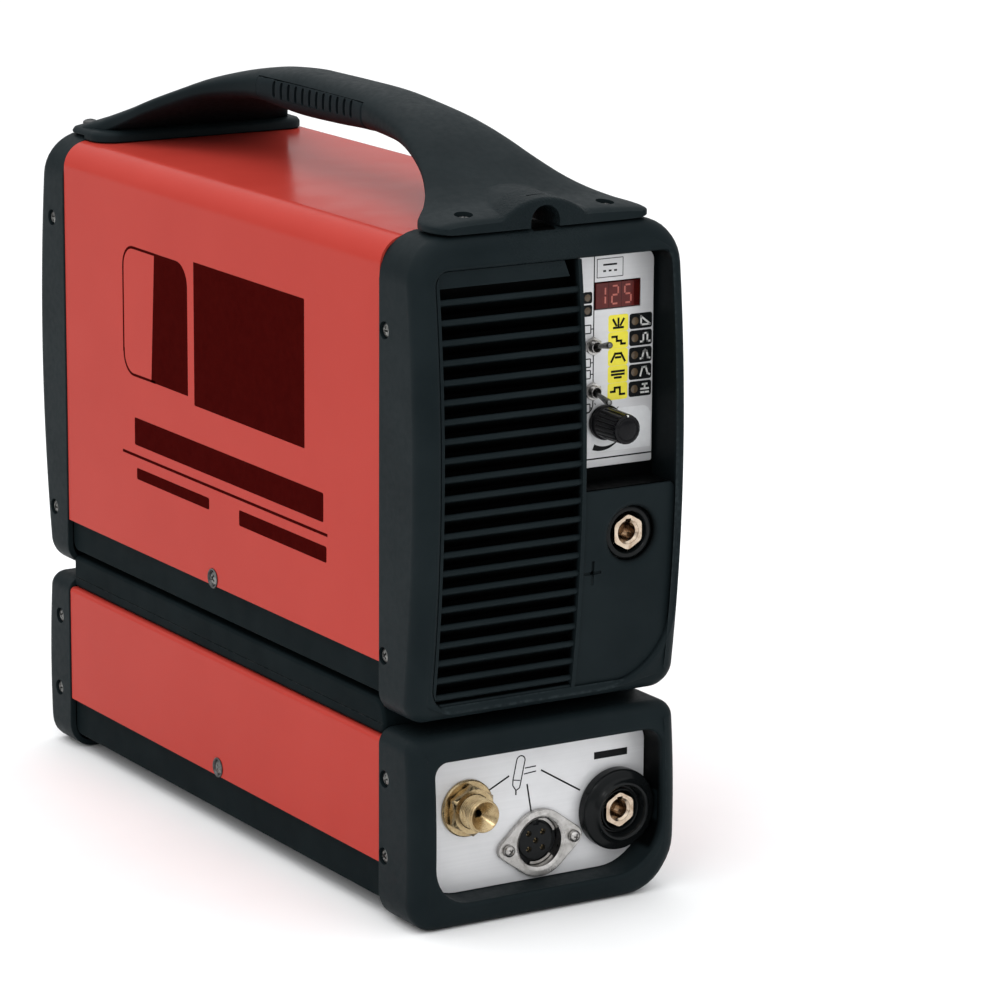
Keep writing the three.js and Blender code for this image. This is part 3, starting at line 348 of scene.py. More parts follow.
class Shader:
    """One material's nodes, in the space of the object that wears it."""

    def __init__(self, name, metallic=0.0, ior=1.45, specular=0.5):
        self.material = bpy.data.materials.new(name)
        self.material.use_nodes = True
        self.nodes = self.material.node_tree.nodes
        self.links = self.material.node_tree.links
        self.surface = self.nodes["Principled BSDF"]
        self.place = self.nodes.new("ShaderNodeTexCoord").outputs["Object"]
        self.surface.inputs["Metallic"].default_value = metallic
        self.surface.inputs["IOR"].default_value = ior
        self.surface.inputs["Specular IOR Level"].default_value = specular
        MATERIALS[name] = self.material

    def node(self, kind, settings=None, **inputs):
        """Adds a node. Inputs are given by name, or by number as i0, i1 and so on."""
        made = self.nodes.new("ShaderNode" + kind)
        for key, value in (settings or {}).items():
            setattr(made, key, value)
        for key, value in inputs.items():
            numbered = key[0] == "i" and key[1:].isdigit()
            socket = made.inputs[int(key[1:]) if numbered else key]
            if isinstance(value, bpy.types.NodeSocket):
                self.links.new(value, socket)
            else:
                socket.default_value = value
        return made

    def stretched(self, scale):
        """The object's coordinates, scaled by three factors."""
        return self.node("Mapping", Vector=self.place, Scale=scale).outputs["Vector"]

    def noise(self, size, detail=3.0, stretch=(1, 1, 1), rough=0.55):
        """Noise whose features are about size millimetres across."""
        where = self.stretched(stretch) if stretch != (1, 1, 1) else self.place
        made = self.node("TexNoise", Vector=where, Scale=1 / (size * MM), Detail=detail, Roughness=rough)
        return made.outputs["Fac"]

    def span(self, value, low, high, start=0.3, end=0.7):
        """Maps a value from start..end to low..high."""
        settings = {"clamp": True}
        made = self.node("MapRange", settings, i0=value, i1=start, i2=end, i3=low, i4=high)
        return made.outputs["Result"]

    def blend(self, amount, low, high):
        """A colour between two colours or colour sockets."""
        made = self.node("Mix", {"data_type": "RGBA"}, i0=amount)
        for index, colour in ((6, low), (7, high)):
            if isinstance(colour, bpy.types.NodeSocket):
                self.links.new(colour, made.inputs[index])
            else:
                made.inputs[index].default_value = (*colour, 1)
        return made.outputs[2]

    def maths(self, operation, a, b=0.0):
        return self.node("Math", {"operation": operation, "use_clamp": False}, i0=a, i1=b).outputs["Value"]

    def edge_wear_and_sheen(self, radius, amount):
        """1 on edges that are tighter than a radius in millimetres, broken up by noise: real edge wear, and
        on plastic also a painted highlight.
        """
        soft = self.node("Bevel", {"samples": 4}, Radius=radius * MM).outputs["Normal"]
        hard = self.node("NewGeometry").outputs["Normal"]
        same = self.node("VectorMath", {"operation": "DOT_PRODUCT"}, i0=soft, i1=hard).outputs["Value"]
        edge = self.span(same, 1.0, 0.0, 0.72, 0.985)
        broken = self.span(self.noise(2.5, 4), 0.0, amount, 0.42, 0.66)
        return self.maths("MULTIPLY", edge, broken)

    def recess_shade_mask(self, face, half, low, high):
        """1 well behind a bulging face, between two heights and within half of the middle: where shade is
        painted into the mouths of the bezels.
        """
        parts = self.node("SeparateXYZ", None, i0=self.place).outputs
        ahead = self.maths("ADD", self.maths("ABSOLUTE", parts["Y"]), (face.radius - face.apex) * MM)
        above = self.maths("SUBTRACT", parts["Z"], face.centre * MM)
        squares = [self.maths("POWER", length, 2.0) for length in (ahead, above)]
        reach = self.maths("SQRT", self.maths("ADD", *squares))
        aside = self.maths("ABSOLUTE", parts["X"])
        mask = self.span(reach, 1, 0, (face.radius - BLACK_DEPTH) * MM, (face.radius - SHADE_DEPTH) * MM)
        for limit in (
            self.span(aside, 1, 0, (half - 0.5) * MM, half * MM),
            self.span(parts["Z"], 0, 1, (low - 1) * MM, (low + 1) * MM),
            self.span(parts["Z"], 1, 0, (high - 0.6) * MM, high * MM),
        ):
            mask = self.maths("MULTIPLY", mask, limit)
        return mask

    def inside_box(self, *sides):
        """1 inside a box, 0 from half a millimetre outside it. sides is x0, x1, y0, y1, z0, z1."""
        parts, mask = self.node("SeparateXYZ", None, i0=self.place).outputs, 1.0
        for axis, low, high in zip("XYZ", sides[::2], sides[1::2]):
            mask = self.maths("MULTIPLY", mask, self.span(parts[axis], 0, 1, (low - 0.5) * MM, low * MM))
            mask = self.maths("MULTIPLY", mask, self.span(parts[axis], 1, 0, high * MM, (high + 0.5) * MM))
        return mask

    def bump(self, height, depth, strength=1.0, under=None):
        """Adds relief of a depth in millimetres."""
        inputs = {"Height": height, "Distance": depth * MM, "Strength": strength}
        if under is not None:
            inputs["Normal"] = under
        return self.node("Bump", None, **inputs).outputs["Normal"]

    def wear(self, colour=None, roughness=None, normal=None):
        for socket, value in (("Base Color", colour), ("Roughness", roughness), ("Normal", normal)):
            if value is not None:
                self.links.new(value, self.surface.inputs[socket])


def plastic(name, low, high, roughness, grain, depth, edge, specular, patch=None, recesses=()):
    """Moulded plastic: spark-eroded grain, faint cloudiness, and edges rubbed smooth whose colour is also
    painted lighter, as a highlight.

    patch is the centre and the radius, in millimetres, of a field of coarser grain; with a patch the strap
    slot of the handle is also painted black, as shade. recesses are rows for Shader.recess_shade_mask: there
    the plastic is painted darker with depth, as shade.
    """
    shader = Shader(name, ior=1.3, specular=specular)
    cloud = shader.noise(38, 4)
    colour = shader.blend(shader.span(cloud, 0, 1), low, high)
    rough = shader.span(shader.noise(grain * 6, 4), *roughness)
    # edges are rubbed smoother, and their colour is lifted as a painted highlight
    rubbed = shader.edge_wear_and_sheen(0.9, edge)
    colour = shader.blend(rubbed, colour, tuple(2.2 * c + 0.016 for c in high))
    rough = shader.maths("SUBTRACT", rough, shader.maths("MULTIPLY", rubbed, 0.12))
    # painted shade: the plastic turns black deep inside the mouths of the bezels
    for row in recesses:
        colour = shader.blend(shader.recess_shade_mask(*row), colour, RECESS_SHADE_BLACK)
    # painted shade: with a patch, the strap slot of the handle is painted black
    if patch:
        colour = shader.blend(shader.inside_box(*STRAP_SLOT_SHADE_BOX), colour, SLOT_SHADE_BLACK)
    relief = shader.bump(shader.noise(grain, 2, rough=0.7), depth, 0.8)
    if patch:
        place, radius = patch
        centre = tuple(value * MM for value in place)
        away = shader.node("VectorMath", {"operation": "DISTANCE"}, i0=shader.place, i1=centre)
        inside = shader.span(away.outputs["Value"], 1.0, 0.0, (radius - 3) * MM, radius * MM)
        coarse = shader.maths("MULTIPLY", inside, shader.noise(1.5, 2, rough=0.8))
        relief = shader.bump(coarse, 0.9, 0.9, relief)
    shader.wear(colour, rough, relief)


def red_paint():
    """Gloss powder coat: slight orange peel, a soft waviness of the sheet and pale rubbed edges."""
    shader = Shader("red_paint", ior=1.32, specular=0.09)
    cloud = shader.span(shader.noise(60, 3), 0, 1)
    colour = shader.blend(cloud, (0.392, 0.037, 0.027), (0.410, 0.041, 0.030))
    colour = shader.blend(shader.edge_wear_and_sheen(0.7, 0.5), colour, (0.52, 0.12, 0.09))
    rough = shader.span(shader.noise(22, 5), 0.17, 0.24)
    peel = shader.bump(shader.noise(2.2, 2), 0.012, 0.5)
    relief = shader.bump(shader.noise(140, 1), 0.25, 0.2, peel)
    shader.wear(colour, rough, relief)


def steel_paint():
    """Satin black paint on folded sheet."""
    shader = Shader("black_steel", ior=1.2, specular=0.04)
    cloud = shader.span(shader.noise(30, 5), 0, 1)
    colour = shader.blend(cloud, (0.0045, 0.0075, 0.0085), (0.0065, 0.0105, 0.0118))
    colour = shader.blend(shader.edge_wear_and_sheen(0.6, 0.5), colour, (0.07, 0.07, 0.07))
    rough = shader.span(shader.noise(12, 5), 0.38, 0.52)
    shader.wear(colour, rough, shader.bump(shader.noise(1.1, 2), 0.02, 0.6))


def plate_paint():
    """Satin silver label: faint brushed lines under a matt lacquer."""
    shader = Shader("label_plate", metallic=0.25)
    lines = shader.noise(1.4, 3, (0.02, 1, 1))
    tone = shader.blend(shader.span(lines, 0, 1), (0.690, 0.690, 0.700), (0.725, 0.725, 0.735))
    smudge = shader.span(shader.noise(16, 5), 0, 0.5, 0.5, 0.8)
    tone = shader.blend(smudge, tone, (0.62, 0.62, 0.63))
    rough = shader.span(shader.noise(7, 5), 0.34, 0.46)
    shader.wear(tone, rough, shader.bump(lines, 0.006, 0.5))


def metal(name, low, high, roughness, line=(0.05, 1, 0.05), tarnish=None, depth=0.01):
    """Machined or plated metal: fine tool lines, cloudy tarnish and brighter edges."""
    shader = Shader(name, metallic=1.0)
    lines = shader.noise(0.5, 4, line)
    colour = shader.blend(shader.span(shader.noise(5, 5), 0, 1), low, high)
    if tarnish:
        spots = shader.span(shader.noise(3.2, 6, rough=0.65), 0, 0.85, 0.48, 0.72)
        colour = shader.blend(spots, colour, tarnish)
    colour = shader.blend(shader.edge_wear_and_sheen(0.4, 0.6), colour, tuple(min(1, 1.35 * c) for c in high))
    patchy = shader.span(shader.noise(2.6, 5), *roughness)
    rough = shader.maths("ADD", patchy, shader.span(lines, -0.03, 0.05))
    shader.wear(colour, rough, shader.bump(lines, depth, 0.6))


def ink(name, low, high, roughness=(0.4, 0.5), specular=0.5, ior=1.45):
    """Print, enamel or film: two near tones and a faint unevenness."""
    shader = Shader(name, ior=ior, specular=specular)
    colour = shader.blend(shader.span(shader.noise(4, 5), 0, 1), low, high)
    rough = shader.span(shader.noise(3, 4), *roughness)
    shader.wear(colour, rough, shader.bump(shader.noise(0.7, 2), 0.008, 0.4))


def board_mask():
    """Green solder mask with copper runs under it and drilled pads."""
    shader = Shader("circuit_board")
    cells = shader.node("TexVoronoi", {"feature": "DISTANCE_TO_EDGE"}, Vector=shader.place, Scale=140.0)
    runs = shader.span(cells.outputs["Distance"], 1, 0, 0.02, 0.07)
    colour = shader.blend(runs, (0.010, 0.085, 0.032), (0.025, 0.16, 0.06))
    pads = shader.node("TexVoronoi", None, Vector=shader.place, Scale=210.0).outputs["Distance"]
    colour = shader.blend(shader.span(pads, 1, 0, 0.10, 0.16), colour, (0.55, 0.53, 0.48))
    shader.wear(colour, shader.span(shader.noise(2, 3), 0.3, 0.45), shader.bump(runs, 0.04, 0.7))


def wound_copper():
    """Enamelled wire, laid turn by turn."""
    shader = Shader("copper_winding", metallic=0.8)
    turns = shader.node("TexWave", {"bands_direction": "Z"}, Vector=shader.place, Scale=160.0, Distortion=0.6)
    colour = shader.blend(turns.outputs["Fac"], (0.30, 0.10, 0.045), (0.62, 0.27, 0.12))
    rough = shader.span(shader.noise(3, 3), 0.25, 0.4)
    shader.wear(colour, rough, shader.bump(turns.outputs["Fac"], 0.5, 0.9))


def make_materials():
    # the field of coarse grain on the handle; with it the plastics also paint the strap slot black, as shade
    hood = ((HOOD["x"], AT["handle"].y0, 338), HOOD["half"])
    # rows of the bezels' mouths, which bezel_moulding paints darker with depth, as shade
    mouths = [(UPPER_FACE, 69.3, 107, 319.3), (LOWER_FACE, 68, 22, 83.2)]
    black = ((0.0066, 0.0107, 0.0123), (0.0098, 0.0147, 0.0165))
    satin = (*black, (0.40, 0.52), 0.55, 0.035, 0.35, 0.09)
    plastic("moulding", *satin, patch=hood)
    plastic("bezel_moulding", *satin, patch=hood, recesses=mouths)
    jet = ((0.004, 0.005, 0.005), (0.007, 0.008, 0.009))
    plastic("socket_plastic", *jet, (0.13, 0.20), 0.9, 0.008, 0.3, 0.3)
    jet = ((0.003, 0.003, 0.004), (0.006, 0.006, 0.007))
    plastic("knob_plastic", *jet, (0.14, 0.22), 0.7, 0.008, 0.4, 0.3)
    rubber = ((0.006, 0.010, 0.012), (0.009, 0.014, 0.016))
    plastic("grip_rubber", *rubber, (0.50, 0.62), 0.4, 0.03, 0.2, 0.1)
    red_paint()
    steel_paint()
    plate_paint()
    metal("brass", (0.36, 0.265, 0.145), (0.50, 0.39, 0.225), (0.20, 0.32), tarnish=(0.27, 0.19, 0.10))
    metal("pale_brass", (0.50, 0.39, 0.29), (0.66, 0.55, 0.44), (0.16, 0.28), tarnish=(0.28, 0.18, 0.11))
    metal("bright_steel", (0.40, 0.385, 0.37), (0.55, 0.535, 0.52), (0.24, 0.36), tarnish=(0.28, 0.27, 0.25))
    metal("dark_steel", (0.13, 0.13, 0.125), (0.24, 0.24, 0.23), (0.26, 0.40), tarnish=(0.03, 0.03, 0.03))
    metal("black_screw", (0.05, 0.05, 0.05), (0.10, 0.10, 0.10), (0.32, 0.46), tarnish=(0.02, 0.02, 0.02))
    metal("aluminium", (0.58, 0.59, 0.60), (0.68, 0.69, 0.70), (0.34, 0.46), (1, 0.03, 1))
    ink("window", (0.035, 0.003, 0.003), (0.050, 0.005, 0.004), (0.08, 0.14), 0.3)
    ink("iron_core", (0.030, 0.031, 0.034), (0.055, 0.056, 0.060), (0.55, 0.72))
    ink("capacitor_sleeve", (0.018, 0.030, 0.11), (0.028, 0.045, 0.15), (0.25, 0.4))
    ink("maroon_film", (0.036, 0.0016, 0.0014), (0.044, 0.0022, 0.0018), (0.42, 0.52), 0.02, 1.08)
    ink("print_black", (0.005, 0.006, 0.006), (0.009, 0.010, 0.011), (0.45, 0.55), 0.1)
    ink("print_white", (0.62, 0.62, 0.60), (0.72, 0.72, 0.70))
    ink("print_yellow", (0.88, 0.77, 0.045), (0.95, 0.84, 0.07))
    ink("panel_light", (0.76, 0.77, 0.78), (0.82, 0.83, 0.84))
    ink("led_lens", (0.075, 0.052, 0.032), (0.12, 0.085, 0.052), (0.10, 0.2))
    ink("digit_field", (0.085, 0.009, 0.008), (0.115, 0.013, 0.011), (0.12, 0.2), 0.3)
    ink("segment", (0.42, 0.105, 0.08), (0.50, 0.135, 0.105), (0.2, 0.3))
    board_mask()
    wound_copper()


# ---------- camera, light and floor ----------
CAMERA = {"place": (-1.09795, -1.94341, 0.68914), "yaw": 31.4986, "pitch": 13.2202, "roll": 0.3937}
LENS = 161.27
SENSOR = 36.0
SKY = (0.45, 1.3)  # brightness of the studio at the horizon and overhead


def make_camera():
    yaw, pitch, roll = (math.radians(CAMERA[key]) for key in ("yaw", "pitch", "roll"))
    forward = Vector((math.sin(yaw) * math.cos(pitch), math.cos(yaw) * math.cos(pitch), -math.sin(pitch)))
    level = Vector((math.cos(yaw), -math.sin(yaw), 0))
    upright = level.cross(forward)
    right = level * math.cos(roll) + upright * math.sin(roll)
    up = upright * math.cos(roll) - level * math.sin(roll)
    data = bpy.data.cameras.new("camera")
    data.lens = LENS
    data.sensor_width = SENSOR
    data.clip_start = 0.05
    data.clip_end = 60
    camera = bpy.data.objects.new("camera", data)
    turn = Matrix((right, up, -forward)).transposed()
    camera.matrix_world = Matrix.Translation(CAMERA["place"]) @ turn.to_4x4()
    bpy.context.scene.collection.objects.link(camera)
    bpy.context.scene.camera = camera


def softbox(name, place, target, width, height, power):
    data = bpy.data.lights.new(name, "AREA")
    data.shape = "RECTANGLE"
    data.size = width
    data.size_y = height
    data.energy = power
    light = bpy.data.objects.new(name, data)
    light.location = place
    light.rotation_euler = (Vector(target) - Vector(place)).to_track_quat("-Z", "Y").to_euler()
    bpy.context.scene.collection.objects.link(light)


def make_light():
    middle = (0, 0, 0.2)
    softbox("overhead", (-0.5, 0.2, 1.9), middle, 2.0, 2.0, 13)
    softbox("key", (-1.5, -1.5, 2.1), middle, 0.5, 0.5, 5)
    softbox("left", (-2.3, -0.2, 1.3), middle, 1.4, 1.4, 2)
    softbox("front", (-0.4, -2.6, 1.3), middle, 1.4, 1.2, 2)
    softbox("right", (2.4, -0.6, 1.0), middle, 1.2, 1.2, 1)
    world = bpy.data.worlds.new("studio")
    world.use_nodes = True
    background = world.node_tree.nodes["Background"]
    background.inputs["Color"].default_value = (0.98, 0.99, 1.0, 1)
    nodes, links = world.node_tree.nodes, world.node_tree.links
    height = nodes.new("ShaderNodeSeparateXYZ")
    links.new(nodes.new("ShaderNodeTexCoord").outputs["Generated"], height.inputs[0])
    strength = nodes.new("ShaderNodeMapRange")
    links.new(height.outputs["Z"], strength.inputs["Value"])
    for socket, value in (("From Min", 0.0), ("From Max", 0.6), ("To Min", SKY[0]), ("To Max", SKY[1])):
        strength.inputs[socket].default_value = value
    links.new(strength.outputs["Result"], background.inputs["Strength"])
    bpy.context.scene.world = world
    view = bpy.context.scene.view_settings
    view.view_transform = "Standard"
    view.look = "None"


def make_floor():
    shader = Shader("floor_paper")
    tone = shader.blend(shader.span(shader.noise(140, 3), 0, 1), (0.90, 0.90, 0.90), (0.93, 0.93, 0.93))
    shader.wear(tone, shader.span(shader.noise(30, 3), 0.65, 0.8), shader.bump(shader.noise(2, 3), 0.02, 0.3))
    form = Form().tile(lambda inset: circle(0, 0, 9000 - inset, 96), [(0, -12), (0, -0.2)])
    floor = link("floor", mesh_of(form, "floor"))
    floor.data.materials.append(shader.material)


# ---------- end bezels ----------
class Face:
    """The bulging front of a bezel: |y| of its surface at a height, and the rounding of its lower edge."""

    def __init__(self, apex, centre, radius, edge=EDGE):
        self.apex, self.centre, self.radius, self.edge = apex, centre, radius, edge

    def at(self, z):
        return self.apex - self.radius + math.sqrt(self.radius ** 2 - (z - self.centre) ** 2)


UPPER_FACE = Face(-UPPER.y0, 222, 740)
LOWER_FACE = Face(-LOWER.y0, 42, 400, 5)
UPPER_CORNERS = [12, 12, 22, 22]
LOWER_CORNERS = [14, 27, 8, 8]
JOINT_GAP = 0.3  # between a bezel and the sheet parts that meet it
MOUTH_GAP = 0.3  # between the rim of a mouth and what lies in it
FRONT_MOUTH = (
    AT["louvre_grille"].x0 - MOUTH_GAP, AT["socket_panel"].x1 + MOUTH_GAP, 108, 319, [12, 36, 6, 7],
)
LOWER_MOUTH = (
    AT["connection_plate"].x0 - MOUTH_GAP, AT["connection_plate"].x1 + MOUTH_GAP, 12, 83, [20, 26, 9, 7],
)
REAR_MOUTH = (-64, 64, 114, 319, [18, 18, 10, 10])
LOWER_REAR_MOUTH = (-64, 64, 11, 83, [22, 22, 8, 8])


def bezel_form(box, back, face, corners, mouth):
    """A front bezel as one skin: cavity, back edge, rounded outside, bulging face, mouth and its floor."""
    bend, side = 10, 16
    outer = lambda inset: rounded(box.x0, box.x1, box.z0, box.z1, corners, inset, bend, side)
    inner = lambda inset: rounded(*mouth, inset, bend, side)
    rings = []

    def ring(points, depth):
        rings.append([(x, depth(k, z), z) for k, (x, z) in enumerate(points)])

    heights = [z for _, z in outer(0)]
    radius = [min(EDGE, face.edge + 0.25 * (z - box.z0), (face.at(z) + back) / 2) for z in heights]
    ring(outer(WALL), lambda k, z: -BULKHEAD)
    ring(outer(WALL), lambda k, z: back)
    ring(outer(0.8), lambda k, z: back)
    ring(outer(0.2), lambda k, z: back - 0.2)
    ring(outer(0), lambda k, z: back - 0.8)
    for step in evenly(0, 90, 7):
        turn = math.radians(step)
        points = [outer(radius[k] * (1 - math.cos(turn)))[k] for k in range(len(heights))]
        lift = 1 - math.sin(turn)
        rings.append([
            (x, -face.at(heights[k]) + radius[k] * lift, z) for k, (x, z) in enumerate(points)
        ])
    start = rings[-1]
    rim = inner(-LIP)
    for t in (0.25, 0.5, 0.75, 1):
        blended = [(mix(a[0], b[0], t), mix(a[2], b[1], t)) for a, b in zip(start, rim)]
        rings.append([
            (x, mix(-face.at(heights[k]), -face.at(z), t), z) for k, (x, z) in enumerate(blended)
        ])
    for step in (30, 60, 90):
        turn = math.radians(step)
        ring(inner(LIP * (math.sin(turn) - 1)), lambda k, z: -face.at(z) + LIP * (1 - math.cos(turn)))
    ring(inner(0), lambda k, z: -FLOOR)
    return Form().skin(rings)


MIRROR = Matrix.Scale(-1, 4, Vector((0, 1, 0)))


def outward(side, x, y, z):
    """Stands what points along +Y on a side of the machine, pointing outwards."""
    return Matrix.Translation((side * x, y, z)) @ Matrix.Rotation(-side * math.pi / 2, 4, "Z")


def laid_across(y, z):
    """Lays what runs along Y across the machine."""
    return Matrix.Translation((0, y, z)) @ Matrix.Rotation(math.pi / 2, 4, "Z")


def screw_pockets(places):
    """Counterbores for side screws on both sides: places are (y, z) rows."""
    profile = [(0, -3), (4.3, -3), (4.3, 0.0), (4.7, 0.5), (4.7, 3), (0, 3)]
    form = Form()
    for side in (-1, 1):
        for y, z in places:
            form.add(Form().turned(profile, 0, 0, 32), outward(side, UPPER.x1, y, z))
    return form


FRONT_SCREWS = [(-169.8, 289), (-169.1, 132), (-170.1, 71.4), (-169.2, 32.8)]
REAR_SCREWS = [(183.2, 290), (185.4, 132), (180.8, 72.4), (182.9, 31.5)]
COVER_SCREWS = [(4.5, 131.6), (0.7, 33)]


def through(form, at, radius, side=-1):
    """A round hole through the wall behind a recess, at the middle of a box."""
    outside, inside = side * (FLOOR + 1), side * (BULKHEAD - 1)
    return form.turned(rod(radius, outside, inside), at.x, at.z, 40)


def window(form, x0, x1, z0, z1, side=-1):
    """A square hole through the same wall."""
    y0, y1 = sorted((side * (FLOOR + 1), side * (BULKHEAD - 1)))
    return form.block(x0, x1, y0, y1, z0, z1, 0.5)


def make_bezels():
    negative = AT["negative_socket_insert"]
    knob, display = AT["potentiometer_shaft"], AT["display_window"]
    louvre, field = AT["louvre_grille"], AT["socket_panel"]

    holes = screw_pockets(FRONT_SCREWS[:2])
    window(holes, louvre.x0 + 2.7, louvre.x1 - 3, louvre.z0 + 4.7, louvre.z1 - 2.7)
    window(holes, field.x0 + 2.7, field.x1 - 2.7, 130, 203)
    window(holes, display.x0 - 0.3, display.x1 + 0.3, display.z0 - 0.3, display.z1 + 0.3)
    through(holes, knob, 4.1)
    for toggle in TOGGLES:
        through(holes, AT[toggle + "_body"], 3.3)
    # bezel_moulding paints the walls of the mouths darker with depth, as shade
    form = bezel_form(UPPER, UPPER.y1, UPPER_FACE, UPPER_CORNERS, FRONT_MOUTH)
    piece("front_bezel_upper", form, "bezel_moulding", replaces=["upper_front_bezel"],
          cuts=holes)

    holes = screw_pockets(FRONT_SCREWS[2:])
    through(holes, AT["gas_outlet_washer"], 8.6)
    through(holes, AT["torch_socket_insert"], 13.4)
    through(holes, negative, 13.4)
    holes.turned(rod(21, -193, -FLOOR), negative.x, negative.z, 64)
    for node in TORCH_SCREWS:
        through(holes, AT[node], 1.8)
    form = bezel_form(LOWER, LOWER.y1, LOWER_FACE, LOWER_CORNERS, LOWER_MOUTH)
    piece("front_bezel_lower", form, "bezel_moulding", replaces=["lower_front_bezel"],
          cuts=holes)

    fan, switch, gland = AT["fan_frame"], AT["power_switch_housing"], AT["gland_body"]
    holes = screw_pockets(REAR_SCREWS[:2])
    through(holes, fan, 57, 1)
    window(holes, switch.x0 + 1.6, switch.x1 - 1.6, switch.z0 + 1.6, switch.z1 - 1.6, 1)
    through(holes, gland, 10.4, 1)
    form = bezel_form(UPPER_REAR, -UPPER_REAR.y0, UPPER_FACE, UPPER_CORNERS, REAR_MOUTH).moved(MIRROR)
    piece("rear_bezel_upper", form, "moulding", replaces=["upper_rear_bezel"], cuts=holes)

    holes = screw_pockets(REAR_SCREWS[2:])
    through(holes, AT["gas_inlet"], 6.9, 1)
    for z in (28, 36, 44, 52, 60, 68):
        window(holes, -4, 48, z, z + 4, 1)
    form = bezel_form(LOWER_REAR, -LOWER_REAR.y0, LOWER_FACE, LOWER_CORNERS, LOWER_REAR_MOUTH).moved(MIRROR)
    piece("rear_bezel_lower", form, "moulding", replaces=["lower_rear_bezel"], cuts=holes)


# ---------- covers ----------
def folded_sheet(box, fold, thickness, bend=12):
    """Cross-section of an inverted U of sheet, as one closed outline in XZ."""
    def half_turn(inset, radius):
        x1, z1 = box.x1 - inset, box.z1 - inset
        right = [(x1, box.z0)] + arc(x1 - radius, z1 - radius, radius, 0, 90, bend)
        return right + [(-x, z) for x, z in reversed(right)]
    return half_turn(0, fold) + half_turn(thickness, max(fold - thickness, 0.4))[::-1]


def make_covers():
    for name, node, fold, screw in (
        ("cover_upper", "upper_cover", 14, COVER_SCREWS[0]),
        ("cover_lower", "lower_cover", 2.4, COVER_SCREWS[1]),
    ):
        box = AT[node]
        section = folded_sheet(box, fold, SHEET)
        stations = evenly(box.y0, box.y1, 6)
        form = Form().skin([[(x, y, z) for x, z in section] for y in stations])
        hole = Form().turned(rod(5.15, -90, 90), 0, 0, 40).moved(laid_across(*screw))
        piece(name, form, "red_paint", replaces=[node], cuts=hole)


# ---------- handle ----------
# y, half width, lowest z, highest z, share of the height below the widest line, power of the underside
HANDLE = [
    (-192.0, 54.5, 334.8, 339.2, 0.50, 9.0),
    (-189.5, 57.5, 334.8, 341.0, 0.46, 9.0),
    (-184.0, 59.2, 334.8, 342.4, 0.36, 9.0),
    (-177.0, 59.3, 334.8, 343.6, 0.28, 9.0),
    (-168.0, 56.2, 335.0, 345.4, 0.24, 9.0),
    (-158.0, 47.2, 338.5, 348.6, 0.35, 4.5),
    (-146.0, 39.2, 343.2, 353.4, 0.44, 3.6),
    (-130.0, 32.2, 350.0, 360.8, 0.46, 3.0),
    (-112.0, 27.4, 355.8, 368.4, 0.46, 2.8),
    (-92.0, 23.2, 359.4, 374.6, 0.47, 2.8),
    (-70.0, 19.9, 360.6, 378.6, 0.47, 2.8),
    (-45.0, 17.6, 361.2, 381.4, 0.48, 2.8),
    (-10.0, 16.2, 360.0, 382.2, 0.48, 2.8),
    (30.0, 15.6, 359.6, 382.2, 0.48, 2.8),
    (60.0, 16.9, 361.9, 380.0, 0.48, 2.8),
    (75.0, 20.0, 362.2, 378.0, 0.46, 2.9),
    (90.0, 24.6, 361.0, 375.0, 0.44, 3.1),
    (105.0, 30.0, 358.6, 371.0, 0.42, 3.4),
    (120.0, 36.7, 353.5, 365.3, 0.42, 4.0),
    (135.0, 44.2, 347.5, 359.4, 0.38, 4.7),
    (150.0, 50.0, 341.0, 353.5, 0.31, 6.0),
    (165.0, 57.3, 335.0, 347.8, 0.25, 9.0),
    (180.0, 59.6, 334.8, 341.6, 0.28, 9.0),
    (190.0, 52.0, 334.8, 336.8, 0.50, 9.0),
]
HOOD = {"x": -0.7, "half": 26, "crest": 348.8}  # the bump over the strap slot at the front of the handle
STRAP_SLOT_SHADE_BOX = (-6.6, 5.2, AT["handle"].y0 + 1.0, -160, 333, 342)  # the box in it that the plastic materials paint black, as shade
GRIP_ZONE = (-48, 62)  # where the soft grip starts and ends
GRIP_TOP = 376.5
GRIP_CORE = 12.0  # half the width of the handle's core inside the grip
GRIP_FLOOR = 367.0  # height of the underside of that core
RIBS, RIB_PITCH, RIB_WIDTH, FIRST_RIB = 12, 7.4, 2.5, 44.5
HANDLE_SEAT = 334.8  # height of the surface that the handle stands on
SCREW_SEAT = 338.7  # height of the seats of the handle's screws
HANDLE_SCREWS = [node for node in AT if node.startswith("handle_screw")]


def handle_at(y):
    """Half width, low, high, widest z and power of the underside of the handle at y."""
    half, low, high, share, power = (spline([(row[0], row[k]) for row in HANDLE], y) for k in range(1, 6))
    low = max(low, HANDLE_SEAT)
    high = min(high, AT["handle"].z1 - 0.05)
    return half, low, high, mix(low, high, share), power


def handle_ring(y):
    half, low, high, waist, power = handle_at(y)
    return [(x, y, z) for x, z in oval(half, low, waist, high, 2.7, power)]


def hood_form():
    """The bump over the strap slot: an arched front that runs back into the leg."""
    front, rings = AT["handle"].y0, []
    for k in range(25):
        share = 0.9999 * (k - 12) / 12
        crest = mix(337.0, HOOD["crest"], (1 - share * share) ** 0.8)
        soft = min(2.5, (crest - 335) / 2)
        corner = arc(front + soft, crest - soft, soft, 180, 90, 5)
        tail = [(-150, max(344.5, crest + 1.2)), (-150, 343.5), (-166, 334.9)]
        ring = [(front, HANDLE_SEAT)] + corner + tail
        rings.append([(HOOD["x"] + share * HOOD["half"], y, z) for y, z in ring])
    return Form().skin(rings)


